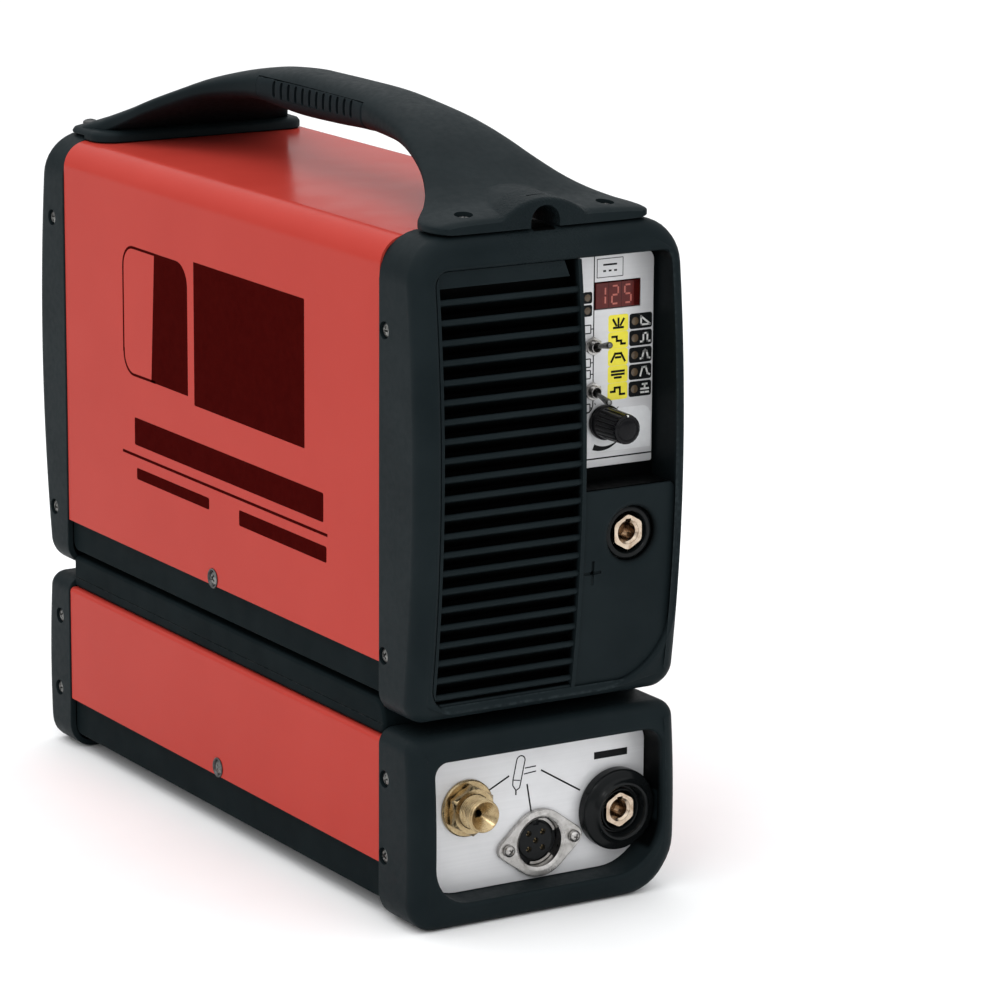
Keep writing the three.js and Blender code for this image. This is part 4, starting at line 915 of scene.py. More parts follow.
def make_handle():
    box = AT["handle"]
    stations = evenly(box.y0, -150, 34) + evenly(-147, 130, 60) + evenly(132, box.y1, 32)
    form = Form().skin([handle_ring(y) for y in stations])
    made = link("handle", mesh_of(form, "handle"))
    foot = lambda inset: rounded(-62, 62, 150, 190, [12, 12, 9, 9], inset, 8, 1)
    combine(made, Form().tile(foot, [(0.6, 332.4), (0, 333), (0, 335.8), (1.2, 337.4), (4, 338.3)]), "UNION")
    combine(made, hood_form(), "UNION")

    cuts = Form().block(-80, 80, UPPER_REAR.y0 - 0.5, 210, 320, HANDLE_SEAT, 0.1)
    slot = rounded(-8.7, 7.3, 330, 345.3, [1, 1, 7.9, 7.9], 0, 10, 0)
    cuts.sheet(slot, -206, -160)
    cuts.block(-6, 4.5, -183.6, -182.2, 346, 356, 0.1)
    for node in HANDLE_SCREWS:
        cuts.turned_up(rod(4.5, SCREW_SEAT, 372), AT[node].x, AT[node].y, 32)
    combine(made, cuts, "DIFFERENCE")
    seams = Form().block(-40, 40, GRIP_ZONE[0], GRIP_ZONE[1], 355, GRIP_FLOOR, 0.1)
    for x0, x1 in ((-40, -GRIP_CORE), (GRIP_CORE, 40)):
        seams.block(x0, x1, GRIP_ZONE[0], GRIP_ZONE[1], 355, GRIP_TOP, 0.1)
    combine(made, seams, "DIFFERENCE")
    finish_piece(made, "moulding", "machine", ["handle"], 42)


def grip_ring(y, inset):
    """A U of rubber: the handle's own section outside, the core inside."""
    half, low, high, waist, power = handle_at(y)
    outside = [point for point in oval(half, low, waist, high, 2.7, power, 112) if point[1] < GRIP_TOP - 0.4]
    start = next(k for k, point in enumerate(outside) if k and math.dist(point, outside[k - 1]) > 8)
    outside = outside[start:] + outside[:start]
    count = 61
    spread = []
    for t in evenly(0, len(outside) - 1, count - 1):
        k = min(int(t), len(outside) - 2)
        spread.append(between(outside[k], outside[k + 1], t - k))
    middle = (0, waist)
    outer = [(mix(x, middle[0], inset / half), mix(z, middle[1], inset / half)) for x, z in spread]
    core, floor = GRIP_CORE + 0.3, GRIP_FLOOR - 0.3
    top = outer[0][1]
    return [(x, y, z) for x, z in outer + [(core, top), (core, floor), (-core, floor), (-core, top)]]


def make_grip():
    y0, y1 = GRIP_ZONE[0] + 0.2, GRIP_ZONE[1] - 0.2
    swell = -0.45
    stations = [(y0, 0.4), (y0 + 0.25, 0.0), (y0 + 0.9, swell)] + [(y, swell) for y in evenly(-44, 56, 26)]
    stations += [(y1 - 3.0, swell), (y1 - 0.25, -0.1), (y1, 0.3)]
    form = Form().skin([grip_ring(y, inset) for y, inset in stations])
    ribs = Form()
    rib = rounded(-RIB_WIDTH / 2, RIB_WIDTH / 2, -4.4, 4.4, [RIB_WIDTH / 2] * 4, 0, 5, 0)
    for k in range(RIBS):
        y = FIRST_RIB - RIB_PITCH * k
        half, _, _, waist, _ = handle_at(y)
        for side in (-1, 1):
            ribs.add(Form().sheet(rib, -1.9, 3), outward(side, half, y, waist + 0.8))
    piece("handle_grip", form, "grip_rubber", replaces=["handle_grip"], cuts=ribs, sharp=35)


# ---------- screws ----------
def screw_form(radius, height, shank, length):
    """A pan head screw along -Y, its seat at y = 0."""
    dome = [(radius * math.sin(math.radians(a)), -height + height * 0.75 * (1 - math.cos(math.radians(a))))
            for a in (12, 30, 48, 64, 78, 90)]
    shaft = [(radius, 0), (shank, 0), (shank, length), (0, length)]
    return Form().turned([(0, -height)] + dome + shaft, 0, 0, 40)


def cross_recess(radius, height):
    """A tapering cross, to be cut into the head of a screw."""
    reach, thick = radius * 0.56, radius * 0.13
    rows = [(reach, thick, -height - 1), (reach, thick, -height + 0.2),
            (reach * 0.35, thick * 0.5, -height * 0.35)]
    rings = [[(-a, y, -b), (a, y, -b), (a, y, b), (-a, y, b)] for a, b, y in rows]
    form = Form()
    for turn in (20, 110):
        form.add(Form().skin(rings), Matrix.Rotation(math.radians(turn), 4, "Y"))
    return form


def screw_mesh(radius, height, shank, length):
    made = link("screw", mesh_of(screw_form(radius, height, shank, length), "screw"))
    combine(made, cross_recess(radius, height), "DIFFERENCE")
    mesh = made.data
    bpy.data.objects.remove(made)
    return mesh


def place_screw(name, master, matrix, material, replaces=()):
    mesh = master.copy()
    mesh.transform(Matrix.Scale(MM, 4) @ matrix @ Matrix.Scale(1 / MM, 4))
    finish_piece(link(name, mesh), material, "machine", replaces, 35)


def make_screws():
    side_screw = screw_mesh(3.9, 2.5, 2.0, 6)
    cup = [(5.1, -0.5), (4.9, -0.7), (4.3, -0.6), (3.2, 1.0), (3.2, 1.9), (4.9, 1.6), (5.1, 0.6)]
    rows = [(y, z, UPPER.x1 - 3.0) for y, z in FRONT_SCREWS + REAR_SCREWS]
    rows += [(y, z, AT["upper_cover"].x1 - 0.1) for y, z in COVER_SCREWS]
    for side, word in ((-1, "left"), (1, "right")):
        turn = Matrix.Rotation(side * math.pi / 2, 4, "Z")
        for k, (y, z, seat) in enumerate(rows):
            spin = Matrix.Rotation(math.radians(37 * k + 11 * side), 4, "Y")
            sunk = 1.9 if k >= len(rows) - len(COVER_SCREWS) else 0.0
            matrix = Matrix.Translation((side * (seat - sunk), y, z)) @ turn @ spin
            place_screw(f"side_screw_{word}_{k + 1}", side_screw, matrix, "dark_steel")
            if sunk:
                form = Form().tube(cup, 0, 0, 40)
                form.moved(Matrix.Translation((side * seat, y, z)) @ turn)
                piece(f"cup_washer_{word}_{k + 1}", form, "black_screw")
    handle_screw = screw_mesh(4.0, 2.5, 2.0, 14.7)
    for k, node in enumerate(HANDLE_SCREWS):
        upright = Matrix.Rotation(-math.pi / 2, 4, "X") @ Matrix.Rotation(0.5 * k, 4, "Y")
        matrix = Matrix.Translation((AT[node].x, AT[node].y, SCREW_SEAT + 0.05)) @ upright
        place_screw(node + "_seen", handle_screw, matrix, "black_screw", [node])


# ---------- louvre grille ----------
LOUVRES = 22
HEADER = 311.0


def louvre_height(k):
    """z of a blade's nose. The pitch shrinks a little downwards."""
    return 304.5 - 9.35 * k + 0.0145 * k * k


def make_louvre():
    """Rounded blades that slope down inwards to a drip lip, between two cheeks, under a header."""
    box = AT["louvre_grille"]
    back = box.y1
    form = Form()
    for k in range(LOUVRES):
        z = louvre_height(k)
        front = -(UPPER_FACE.at(z) - 2)
        nose = arc(front + 1.5, z, 1.5, 270, 90, 7)
        blade = nose + [(front + 11.6, z - 5.3), (front + 12.4, z - 6.2), (front + 12.4, z - 11.2)]
        blade += [(front + 11.6, z - 11.2), (front + 11.2, z - 8.0)]
        form.plank(lambda inset: blade, [(0, box.x0 + 1.4), (0, box.x1 - 1.8)])
    form.block(box.x0 + 1.4, box.x1 - 1.8, -185.4, -184.5, 302.4, HEADER + 1, 0.2)
    heights = evenly(box.z0, box.z1, 16)
    cheek = [(-(UPPER_FACE.at(z) - 1.2), z) for z in heights] + [(back, box.z1), (back, box.z0)]
    form.plank(lambda inset: cheek, [(0, box.x0), (0, box.x0 + 1.6)])
    form.plank(lambda inset: cheek, [(0, box.x1 - 2.0), (0, box.x1 - 0.6), (0, box.x1)])
    form.block(box.x0 + 0.5, box.x1 - 0.5, -193, back, box.z0, 111, 0.4)
    mouth = Form().sheet(rounded(*FRONT_MOUTH, 0.3, 8, 0), -204, back + 1)
    # bezel_moulding paints the blades black deeper behind the face, as shade
    piece("louvre_grille", form, "bezel_moulding", replaces=["louvre_grille"],
          within=mouth, sharp=45)
    bar = [(box.x0 + 1.7, HEADER), (box.x1 - 6, HEADER), (box.x1 - 9, box.z1), (box.x0 + 1.7, box.z1)]
    piece("louvre_header", Form().sheet(bar, -195, -186), "moulding", within=mouth)


# ---------- socket panel ----------
PANEL_DEPTH = 2.5
PANEL_THICK = 3.0
SOCKET_MOUTH = 16.3  # radius of the socket's hole at the face, and below it behind the rounding
SOCKET_THROAT = 13.5


def make_socket_panel():
    box, socket = AT["socket_panel"], AT["positive_socket_insert"]
    radii = [1, 34, 4, 1]
    face = lambda z: -(UPPER_FACE.at(z) - PANEL_DEPTH)
    edge = lambda inset: rounded(box.x0, box.x1, box.z0, box.z1, radii, inset, 8, 10)
    turns = [math.atan2(z - socket.z, x - socket.x) for x, z in edge(0)]
    hole = lambda radius: [(socket.x + radius * math.cos(a), socket.z + radius * math.sin(a)) for a in turns]
    rings = []

    def ring(points, depth):
        rings.append([(x, face(z) + depth, z) for x, z in points])

    ring(edge(0), PANEL_THICK)
    ring(edge(0), 0.7)
    ring(edge(0.25), 0.2)
    ring(edge(0.8), 0.0)
    for t in (0.2, 0.4, 0.6, 0.8, 0.93, 1):
        ring([(mix(a[0], b[0], t), mix(a[1], b[1], t)) for a, b in zip(edge(0.8), hole(SOCKET_MOUTH))], 0.0)
    for turn in (30, 60, 90):
        a = math.radians(turn)
        soft = SOCKET_MOUTH - SOCKET_THROAT
        ring(hole(SOCKET_MOUTH - soft * math.sin(a)), soft * (1 - math.cos(a)))
    ring(hole(SOCKET_THROAT), PANEL_THICK)
    form = Form().skin(rings, loop=True)
    ledge = rounded(box.x0, box.x1, box.z1 - WALL, box.z1, [0.2, 0.2, 3, 0.2], 0, 4, 0)
    front = face(box.z1) + 1.2
    join = Form().slab(lambda inset: ledge, [(0, front), (0, box.y1)])
    plus = Form()
    for dx, dz in ((5.0, 0.85), (0.85, 6.0)):
        plus.block(23.2 - dx, 23.2 + dx, -203, face(166.5) + 0.8, 166.4 - dz, 166.4 + dz, 0.1)
    piece("socket_panel", form, "bezel_moulding", replaces=["socket_panel"],
          join=join, cuts=plus)


# ---------- welding sockets ----------
def make_insert(node, front):
    """Brass: a chamfered hexagon with a countersunk bore, a keyway and a solid end."""
    box = AT[node]
    flats, x, z = 15.5, box.x, box.z
    form = Form().hexagon(flats, front, -160, x, z, 0.5, 0.75)
    join = Form().turned([(0, -161), (5, -161), (5, box.y1 - 0.8), (4.2, box.y1), (0, box.y1)], x, z, 40)
    bore = Form().turned([
        (0, front - 1), (6.2, front - 1), (5.9, front + 0.2), (4.75, front + 1.2), (4.6, front + 2.4),
        (4.6, front + 18), (3.0, front + 20), (0, front + 20),
    ], x, z, 48)
    bore.block(x - 1.6, x + 1.6, front - 1, front + 9, z, z + 6.6, 0.2)
    for turn, depth in ((205, 5.0), (325, 6.5)):
        a = math.radians(turn)
        at = x + 4.0 * math.cos(a), z + 4.0 * math.sin(a)
        bore.turned(rod(1.9, front + 2.5, front + depth + 4), *at, 20)
    piece(node + "_seen", form, "pale_brass", replaces=[node], join=join, cuts=bore, sharp=30)


def make_positive_socket():
    box = AT["positive_socket_housing"]
    front, seat = box.y0, -181.0
    form = Form().tube([
        (13.1, -166), (13.1, -183), (16.5, -183), (16.5, -193.4), (16.1, -193.8), (13.1, -193.8),
        (13.1, front + 0.7), (12.6, front + 0.2), (11.9, front), (10.6, front), (10.2, front + 0.4),
        (9.9, front + 1.2), (9.7, front + 4.6), (9.3, front + 5.0), (9.15, seat), (9.15, -166),
    ], box.x, box.z, 72)
    piece("positive_housing", form, "socket_plastic", replaces=["positive_socket_housing"])
    make_insert("positive_socket_insert", AT["positive_socket_insert"].y0)


def make_negative_socket():
    """A broad collar with a raised rim round a deep dish."""
    insert, plate = AT["negative_socket_insert"], -PLATE - 0.3
    form = Form().tube([
        (13.1, -166), (13.1, plate), (20.0, plate), (20.4, plate - 0.4), (20.4, -186.0), (20.1, -186.8),
        (19.2, -187.5), (16.6, -188.3), (15.4, -189.0), (14.9, -190.0), (14.3, -190.6), (13.3, -190.6),
        (12.8, -190.2), (12.5, -189.0), (12.2, -186.4), (11.7, -185.6), (11.1, -185.6), (10.8, -186.6),
        (10.5, -187.4), (10.0, -187.6), (9.5, -187.1), (9.2, -185.0), (9.15, -181), (9.15, -166),
    ], insert.x, insert.z, 96)
    piece("negative_housing", form, "socket_plastic", replaces=["negative_socket_housing"])
    make_insert("negative_socket_insert", insert.y0)


# ---------- gas outlet and torch control socket ----------
def make_gas_outlet():
    body, nut, washer = AT["gas_outlet_body"], AT["gas_outlet_nut"], AT["gas_outlet_washer"]
    front = body.y0
    thread = []
    for k in range(7):
        y = front + 1.4 + 1.337 * k
        thread += [(7.45, y), (8.3, y + 0.45), (8.3, y + 0.75)]
    profile = [(1.8, front + 6), (7.0, front + 0.25), (7.3, front), (7.7, front), (8.0, front + 0.3)] + thread
    profile += [(8.2, -176), (11, -176), (11, -171), (5, -171), (5, -152), (1.8, -152)]
    form = Form().tube(profile, nut.x, nut.z, 64)
    piece("gas_outlet", form, "brass", replaces=["gas_outlet_body"], sharp=28)
    form = Form().hexagon(22, nut.y0, nut.y1, nut.x, nut.z, 1.1)
    bore = Form().turned(rod(8.75, nut.y0 - 1, nut.y1 + 1), nut.x, nut.z, 64)
    piece("gas_nut", form, "brass", replaces=["gas_outlet_nut"], cuts=bore, sharp=28)
    rim = [(8.7, washer.y0), (13.6, washer.y0), (14.1, washer.y0 + 0.4), (14.2, washer.y1), (8.7, washer.y1)]
    piece("gas_washer", Form().tube(rim, nut.x, nut.z, 72), "brass", replaces=["gas_outlet_washer"], sharp=28)


TORCH_TILT = math.degrees(math.atan2(0.9, 18.6))


def lozenge(inset):
    """The flange's outline round its own middle: a round body that runs out to two ears."""
    body, ear, reach = 17 - inset, 5.2 - inset, 18.6
    meet = math.degrees(math.acos((17 - 5.2) / reach))
    half = arc(reach, 0, ear, -meet, meet, 10) + arc(0, 0, body, meet, 180 - meet, 16)
    return half + [(-x, -z) for x, z in half]


def make_torch_socket():
    flange, insert = AT["torch_socket_flange"], AT["torch_socket_insert"]
    x, z = insert.x, insert.z
    front, back = flange.y0, -PLATE - 0.3
    levels = [(0.7, front), (0.2, front + 0.2), (0, front + 0.6), (0, back - 0.2), (0.2, back)]
    form = Form().slab(lozenge, levels)
    turned = Matrix.Translation((x, 0, z)) @ Matrix.Rotation(math.radians(-TORCH_TILT), 4, "Y")
    form.moved(turned)
    join = Form().turned(rod(13.1, front + 0.6, -166), x, z, 64)
    cuts = Form().turned([
        (0, front - 2), (14.4, front - 2), (13.9, front + 0.1), (12.9, front + 0.5), (12.3, front + 1.0),
        (12.2, -160), (0, -160),
    ], x, z, 64)
    stepped = [(0, -190), (2.4, -190), (2.4, front + 0.1), (1.8, front + 0.7), (1.8, -170), (0, -170)]
    for node in TORCH_SCREWS:
        cuts.turned(stepped, AT[node].x, AT[node].z, 24)
    piece("torch_flange", form, "bright_steel", replaces=["torch_socket_flange"],
          join=join, cuts=cuts, sharp=30)

    front = insert.y0
    form = Form().turned([
        (0, front), (8.9, front), (9.4, front + 0.25), (9.6, front + 0.8), (9.6, -177.6), (11.9, -177.4),
        (11.9, -164), (0, -164),
    ], x, z, 64)
    holes = Form().block(x - 1.5, x + 1.5, front - 1, -177.8, z + 7.9, z + 12, 0.2)
    places = [(x, z)] + [(x + 5.6 * math.cos(math.radians(a)), z + 5.6 * math.sin(math.radians(a)))
                         for a in (45, 135, 225, 315)]
    pins = Form()
    for px, pz in places:
        cone = [(0, front - 1), (1.75, front - 1), (1.45, front + 0.3), (1.45, front + 5), (0, front + 5)]
        holes.turned(cone, px, pz, 20)
        sleeve = [(0.6, front + 1.6), (1.2, front + 1.6), (1.2, front + 4.8), (0.6, front + 4.8)]
        pins.tube(sleeve, px, pz, 20)
    piece("torch_insert", form, "socket_plastic", replaces=["torch_socket_insert"], cuts=holes)
    piece("torch_contacts", pins, "brass")
    liner = Form()
    for start in (20, 140, 255):
        outline = arc(x, z, 11.9, start, start + 62, 12) + arc(x, z, 10.6, start + 62, start, 12)
        liner.sheet(outline, front + 0.4, -178)
    piece("torch_springs", liner, "bright_steel")

    master = screw_mesh(3.0, 2.9, 1.4, 9)
    for k, node in enumerate(TORCH_SCREWS):
        spin = Matrix.Rotation(0.4 + k, 4, "Y")
        matrix = Matrix.Translation((AT[node].x, -184.05, AT[node].z)) @ spin
        place_screw(node + "_seen", master, matrix, "bright_steel", [node])


# ---------- control plate ----------
SYMBOLS = {  # generic line symbols on a field 1 wide and 1 high
    "spray": [[(0.15, 0.8), (0.35, 0.35)], [(0.5, 0.85), (0.5, 0.3)], [(0.85, 0.8), (0.65, 0.35)],
              [(0.2, 0.15), (0.8, 0.15)]],
    "step": [[(0.1, 0.8), (0.4, 0.8), (0.4, 0.45), (0.7, 0.45), (0.7, 0.2), (0.95, 0.2)]],
    "ramp": [[(0.05, 0.2), (0.3, 0.8), (0.7, 0.8), (0.95, 0.2)], [(0.35, 0.5), (0.65, 0.5)]],
    "comb": [[(0.1, 0.75), (0.9, 0.75)], [(0.1, 0.5), (0.9, 0.5)], [(0.3, 0.25), (0.7, 0.25)]],
    "square": [[(0.05, 0.5), (0.3, 0.5), (0.3, 0.8), (0.65, 0.8), (0.65, 0.25), (0.95, 0.25)]],
    "slope": [[(0.05, 0.85), (0.95, 0.15), (0.05, 0.15), (0.05, 0.85)]],
    "pulse": [[(0.05, 0.15), (0.3, 0.15), (0.3, 0.85), (0.7, 0.85), (0.7, 0.15), (0.95, 0.15)]],
    "hump": [[(0.05, 0.15), (0.22, 0.2), (0.35, 0.75), (0.5, 0.85), (0.65, 0.75), (0.78, 0.2), (0.95, 0.15)]],
    "fall": [[(0.05, 0.15), (0.25, 0.85), (0.6, 0.85), (0.75, 0.3), (0.95, 0.2)]],
    "dots": [[(0.3, 0.85), (0.7, 0.85)], [(0.5, 0.85), (0.5, 0.5)], [(0.15, 0.45), (0.85, 0.45)],
             [(0.15, 0.15), (0.4, 0.15)], [(0.6, 0.15), (0.85, 0.15)]],
}
YELLOW_SYMBOLS = ("spray", "step", "ramp", "comb", "square")
WHITE_SYMBOLS = ("slope", "pulse", "hump", "fall", "dots")
TILE_TOP, TILE_PITCH = 286.5, 8.3
ROW_HEIGHT = 7.5


def stamp(form, outline, layer=1):
    """One print on the label plates, on top of layer - 1 others."""
    form.sheet(outline, -PLATE - INK * layer, -PLATE - INK * (layer - 1) + 0.02)


def draw(form, points, width):
    """Prints a line through points, one straight stretch after the other."""
    for a, b in zip(points, points[1:]):
        stamp(form, ribbon([a, b], width))


def symbol(form, name, x0, x1, z0, z1, width, layer):
    """Prints one of SYMBOLS into a field."""
    for line in SYMBOLS[name]:
        points = [(mix(x0, x1, u), mix(z0, z1, v)) for u, v in line]
        for a, b in zip(points, points[1:]):
            reach = width / 2 / math.dist(a, b)
            stamp(form, ribbon([between(a, b, -reach), between(a, b, 1 + reach)], width), layer)


def make_control_plate():
    plate, display, knob = AT["control_plate"], AT["display_window"], AT["potentiometer_shaft"]
    outline = lambda inset: rounded(plate.x0, plate.x1, plate.z0, plate.z1, [1, 1, 5, 1], inset, 8, 0)
    form = Form().slab(outline, [(0.15, plate.y0), (0, plate.y0 + 0.15), (0, plate.y1)])
    x0, x1, z0, z1 = display.x0 - 0.3, display.x1 + 0.3, display.z0 - 0.3, display.z1 + 0.3
    holes = Form().block(x0, x1, *PLATE_CUT, z0, z1, 0.1)
    holes.turned(rod(4.1, *PLATE_CUT), knob.x, knob.z, 40)
    for toggle in TOGGLES:
        at = AT[toggle + "_body"]
        holes.turned(rod(3.3, *PLATE_CUT), at.x, at.z, 32)
    piece("control_plate", form, "label_plate", replaces=["control_plate"], cuts=holes, sharp=30)
    make_control_prints(knob)
    make_display(display)


SMALL_DOME = [(0, -0.35), (1.2, -0.3), (1.75, -0.1), (1.75, 0), (0, 0)]
LARGE_DOME = [(0, -0.45), (1.3, -0.4), (1.95, -0.15), (1.95, 0), (0, 0)]


def on_plate(dome):
    """The profile of a lamp's lens, set on a label plate."""
    return [(radius, y - PLATE) for radius, y in dome]


def make_control_prints(knob):
    black, white, yellow, light, lens = Form(), Form(), Form(), Form(), Form()
    # the line that fences off the switches
    stamp(black, ribbon([(33.6, 316.4)] + arc(29.4, 244.5, 4.2, 0, -90, 8) + [(27, 240.3)], 0.55))
    for z0 in (293.7, 287.4):
        stamp(black, rounded(27.4, 32.6, z0, z0 + 5.6, [1.1] * 4, 0, 4, 0))
        lens.turned(on_plate(SMALL_DOME), 30, z0 + 2.8, 24)
    # brackets that tie each switch to its two positions
    for toggle in TOGGLES:
        z = AT[toggle + "_body"].z
        for side in (-1, 1):
            low, high = sorted((z + side * 6.2, z + side * 10.2))
            draw(black, [(28.2, low), (32.0, low), (32.0, high), (28.2, high), (28.2, low)], 0.55)
            stamp(black, ribbon([(32.0, (low + high) / 2), (33.4, (low + high) / 2)], 0.5))
    # a plain frame with the two lines that stand for direct current
    draw(black, [(35.2, 305.6), (49.8, 305.6), (49.8, 314.6), (35.2, 314.6), (35.2, 305.6)], 0.35)
    stamp(black, ribbon([(38.6, 311.6), (46.4, 311.6)], 0.9))
    for x in (38.6, 41.7, 44.8):
        stamp(black, ribbon([(x, 308.6), (x + 1.6, 308.6)], 0.9))
    for k in range(5):
        top = TILE_TOP - TILE_PITCH * k
        low = top - ROW_HEIGHT
        stamp(yellow, rounded(41.9, 53.2, low - 0.35, top + 0.35, [1.2] * 4, 0, 4, 0))
        symbol(black, YELLOW_SYMBOLS[k], 43.4, 51.8, low + 0.6, top - 0.8, 1.1, 2)
        stamp(black, rounded(53.9, 66.8, low, top, [1.3] * 4, 0, 4, 0))
        symbol(white, WHITE_SYMBOLS[k], 60.2, 65.9, low + 0.9, top - 0.9, 0.9, 2)
        lens.turned(on_plate(LARGE_DOME), 57.1, (low + top) / 2, 28)
    stamp(light, rounded(33.4, 66.6, 220.6, 241.2, [0.5, 0.5, 5, 5], 0, 8, 0))
    stamp(black, ribbon([(17.8, 217.6), (67.2, 217.6)], 0.7))
    scale = arc(knob.x, knob.z, 13.2, 246, 308, 16)
    stamp(black, ribbon(scale, 3.0, 0.5), 2)
    for angle in range(-135, 136, 27):
        a = math.radians(90 - angle)
        ends = [(knob.x + r * math.cos(a), knob.z + r * math.sin(a)) for r in (9.6, 10.7)]
        if ends[1][0] > 33.8 and abs(angle) < 120:
            stamp(black, ribbon(ends, 0.35), 2)
    piece("control_print_black", black, "print_black")
    piece("control_print_white", white, "print_white")
    piece("control_print_yellow", yellow, "print_yellow")
    piece("control_print_light", light, "panel_light")
    piece("control_lamps", lens, "led_lens")


SEGMENTS = {1: "bc", 2: "abged", 5: "afgcd"}
DIGITS = (1, 2, 5)
DIGIT_PITCH = 7.25


def make_display(box):
    """A dark red window with three seven-segment digits."""
    form = Form().block(box.x0, box.x1, box.y0, box.y1, box.z0, box.z1, 0.35)
    piece("display_window", form, "window", replaces=["display_window"], sharp=30)
    fields, lit = Form(), Form()
    front = box.y0
    for k, digit in enumerate(DIGITS):
        x0 = box.x0 + 0.4 + DIGIT_PITCH * k
        field = rounded(x0, x0 + DIGIT_PITCH - 0.35, box.z0 + 0.5, box.z1 - 0.5, [0.3] * 4, 0, 2, 0)
        fields.sheet(field, front - INK, front)
        left, right = x0 + 1.7, x0 + 5.2
        low, high = box.z0 + 2.2, box.z1 - 2.2
        middle = (low + high) / 2
        bars = {
            "a": [(left, high), (right, high)], "b": [(right, high), (right, middle)],
            "c": [(right, middle), (right, low)], "d": [(left, low), (right, low)],
            "e": [(left, middle), (left, low)], "f": [(left, high), (left, middle)],
            "g": [(left, middle), (right, middle)],
        }
        for name in SEGMENTS[digit]:
            a, b = bars[name]
            trimmed = [between(a, b, 0.12), between(a, b, 0.88)]
            lit.sheet(ribbon(trimmed, 0.85), front - 2 * INK, front - INK + 0.01)
    piece("display_fields", fields, "digit_field")
    piece("display_digits", lit, "segment")


def fluted(at, row, flutes, power, points):
    """A ring about a box's middle. A row is its radius, its y and the depth of its flutes, if it has any."""
    radius, y, depth = (*row, 0)[:3]
    ring = []
    for a in evenly(0, 2 * math.pi, points)[:-1]:
        r = radius - depth * max(math.cos(flutes * a), 0) ** power
        ring.append((at.x + r * math.cos(a), y, at.z + r * math.sin(a)))
    return ring


def make_knob():
    """A fluted barrel on a skirt, with a pressed cap and a white pointer line."""
    box = AT["current_knob"]
    flutes, points = 20, 160
    front, back = box.y0, box.y1
    skirt = [(3.4, front + 5.5), (3.4, back), (8.2, back), (8.55, back - 0.4), (8.55, back - 2.4),
             (8.2, back - 3.0), (7.75, back - 3.3)]
    barrel = [(7.7, back - 4.2, 0.05), (7.65, back - 5.2, 0.5), (7.3, front + 2.2, 0.5),
              (7.2, front + 1.4, 0.35), (7.0, front + 0.7, 0.1)]
    cap = [(6.5, front + 0.25), (6.0, front + 0.1), (5.7, front + 0.3), (5.5, front + 0.65),
           (5.2, front + 0.65), (5.0, front + 0.4), (4.6, front + 0.25), (0.0, front + 0.2)]
    rings = [fluted(box, row, flutes, 2, points) for row in skirt + barrel + cap]
    form = Form().skin(rings + [[(box.x, front + 5.5, box.z)] * points], loop=True)
    piece("current_knob_seen", form, "knob_plastic", "current_knob", ["current_knob"], sharp=32)
    line = Form().block(box.x - 0.4, box.x + 0.4, front + 0.15, front + 1.35, box.z + 6.2, box.z + 7.05, 0.05)
    piece("knob_pointer", line, "print_white", "current_knob")


TOGGLE_PIVOT = -183.5
TOGGLE_TILT = {"mode_toggle": -13, "process_toggle": 13}
BAT = [(0, -14.35), (0.6, -14.3), (1.15, -14.0), (1.5, -13.4), (1.66, -12.6), (1.6, -11.0),
       (1.35, -8.0), (1.12, -4.5), (1.1, 3.2), (0.9, 3.8), (0, 4.0)]  # the lever: (radius, y from the pivot)


def make_toggles():
    for toggle in TOGGLES:
        body, lever = AT[toggle + "_body"], AT[toggle + "_lever"]
        x, z = body.x, body.z
        form = Form().block(body.x0, body.x1, -BULKHEAD + 0.3, body.y1, body.z0, body.z1, 0.5)
        thread = [(2.3, -177), (2.3, body.y0 + 0.3), (2.5, body.y0), (2.8, body.y0)]
        for k in range(9):
            y = body.y0 + 0.25 + 0.5 * k
            thread += [(3.0, y), (2.8, y + 0.25)]
        join = Form().tube(thread + [(2.9, -177)], x, z, 40)
        piece(toggle + "_bush", form, "bright_steel", replaces=[toggle + "_body"], join=join)
        nut = Form().hexagon(8, -PLATE - 2.0, -PLATE - 0.3, x, z, 0.35)
        bore = Form().turned(rod(3.02, -186, -179), x, z, 40)
        piece(toggle + "_nut", nut, "bright_steel", cuts=bore, sharp=30)
        tilt = Matrix.Rotation(math.radians(TOGGLE_TILT[toggle]), 4, "X")
        form = Form().turned(BAT, 0, 0, 28)
        form.moved(Matrix.Translation((lever.x, TOGGLE_PIVOT, z)) @ tilt)
        piece(toggle + "_bat", form, "dark_steel", toggle, [toggle + "_lever"], 50)


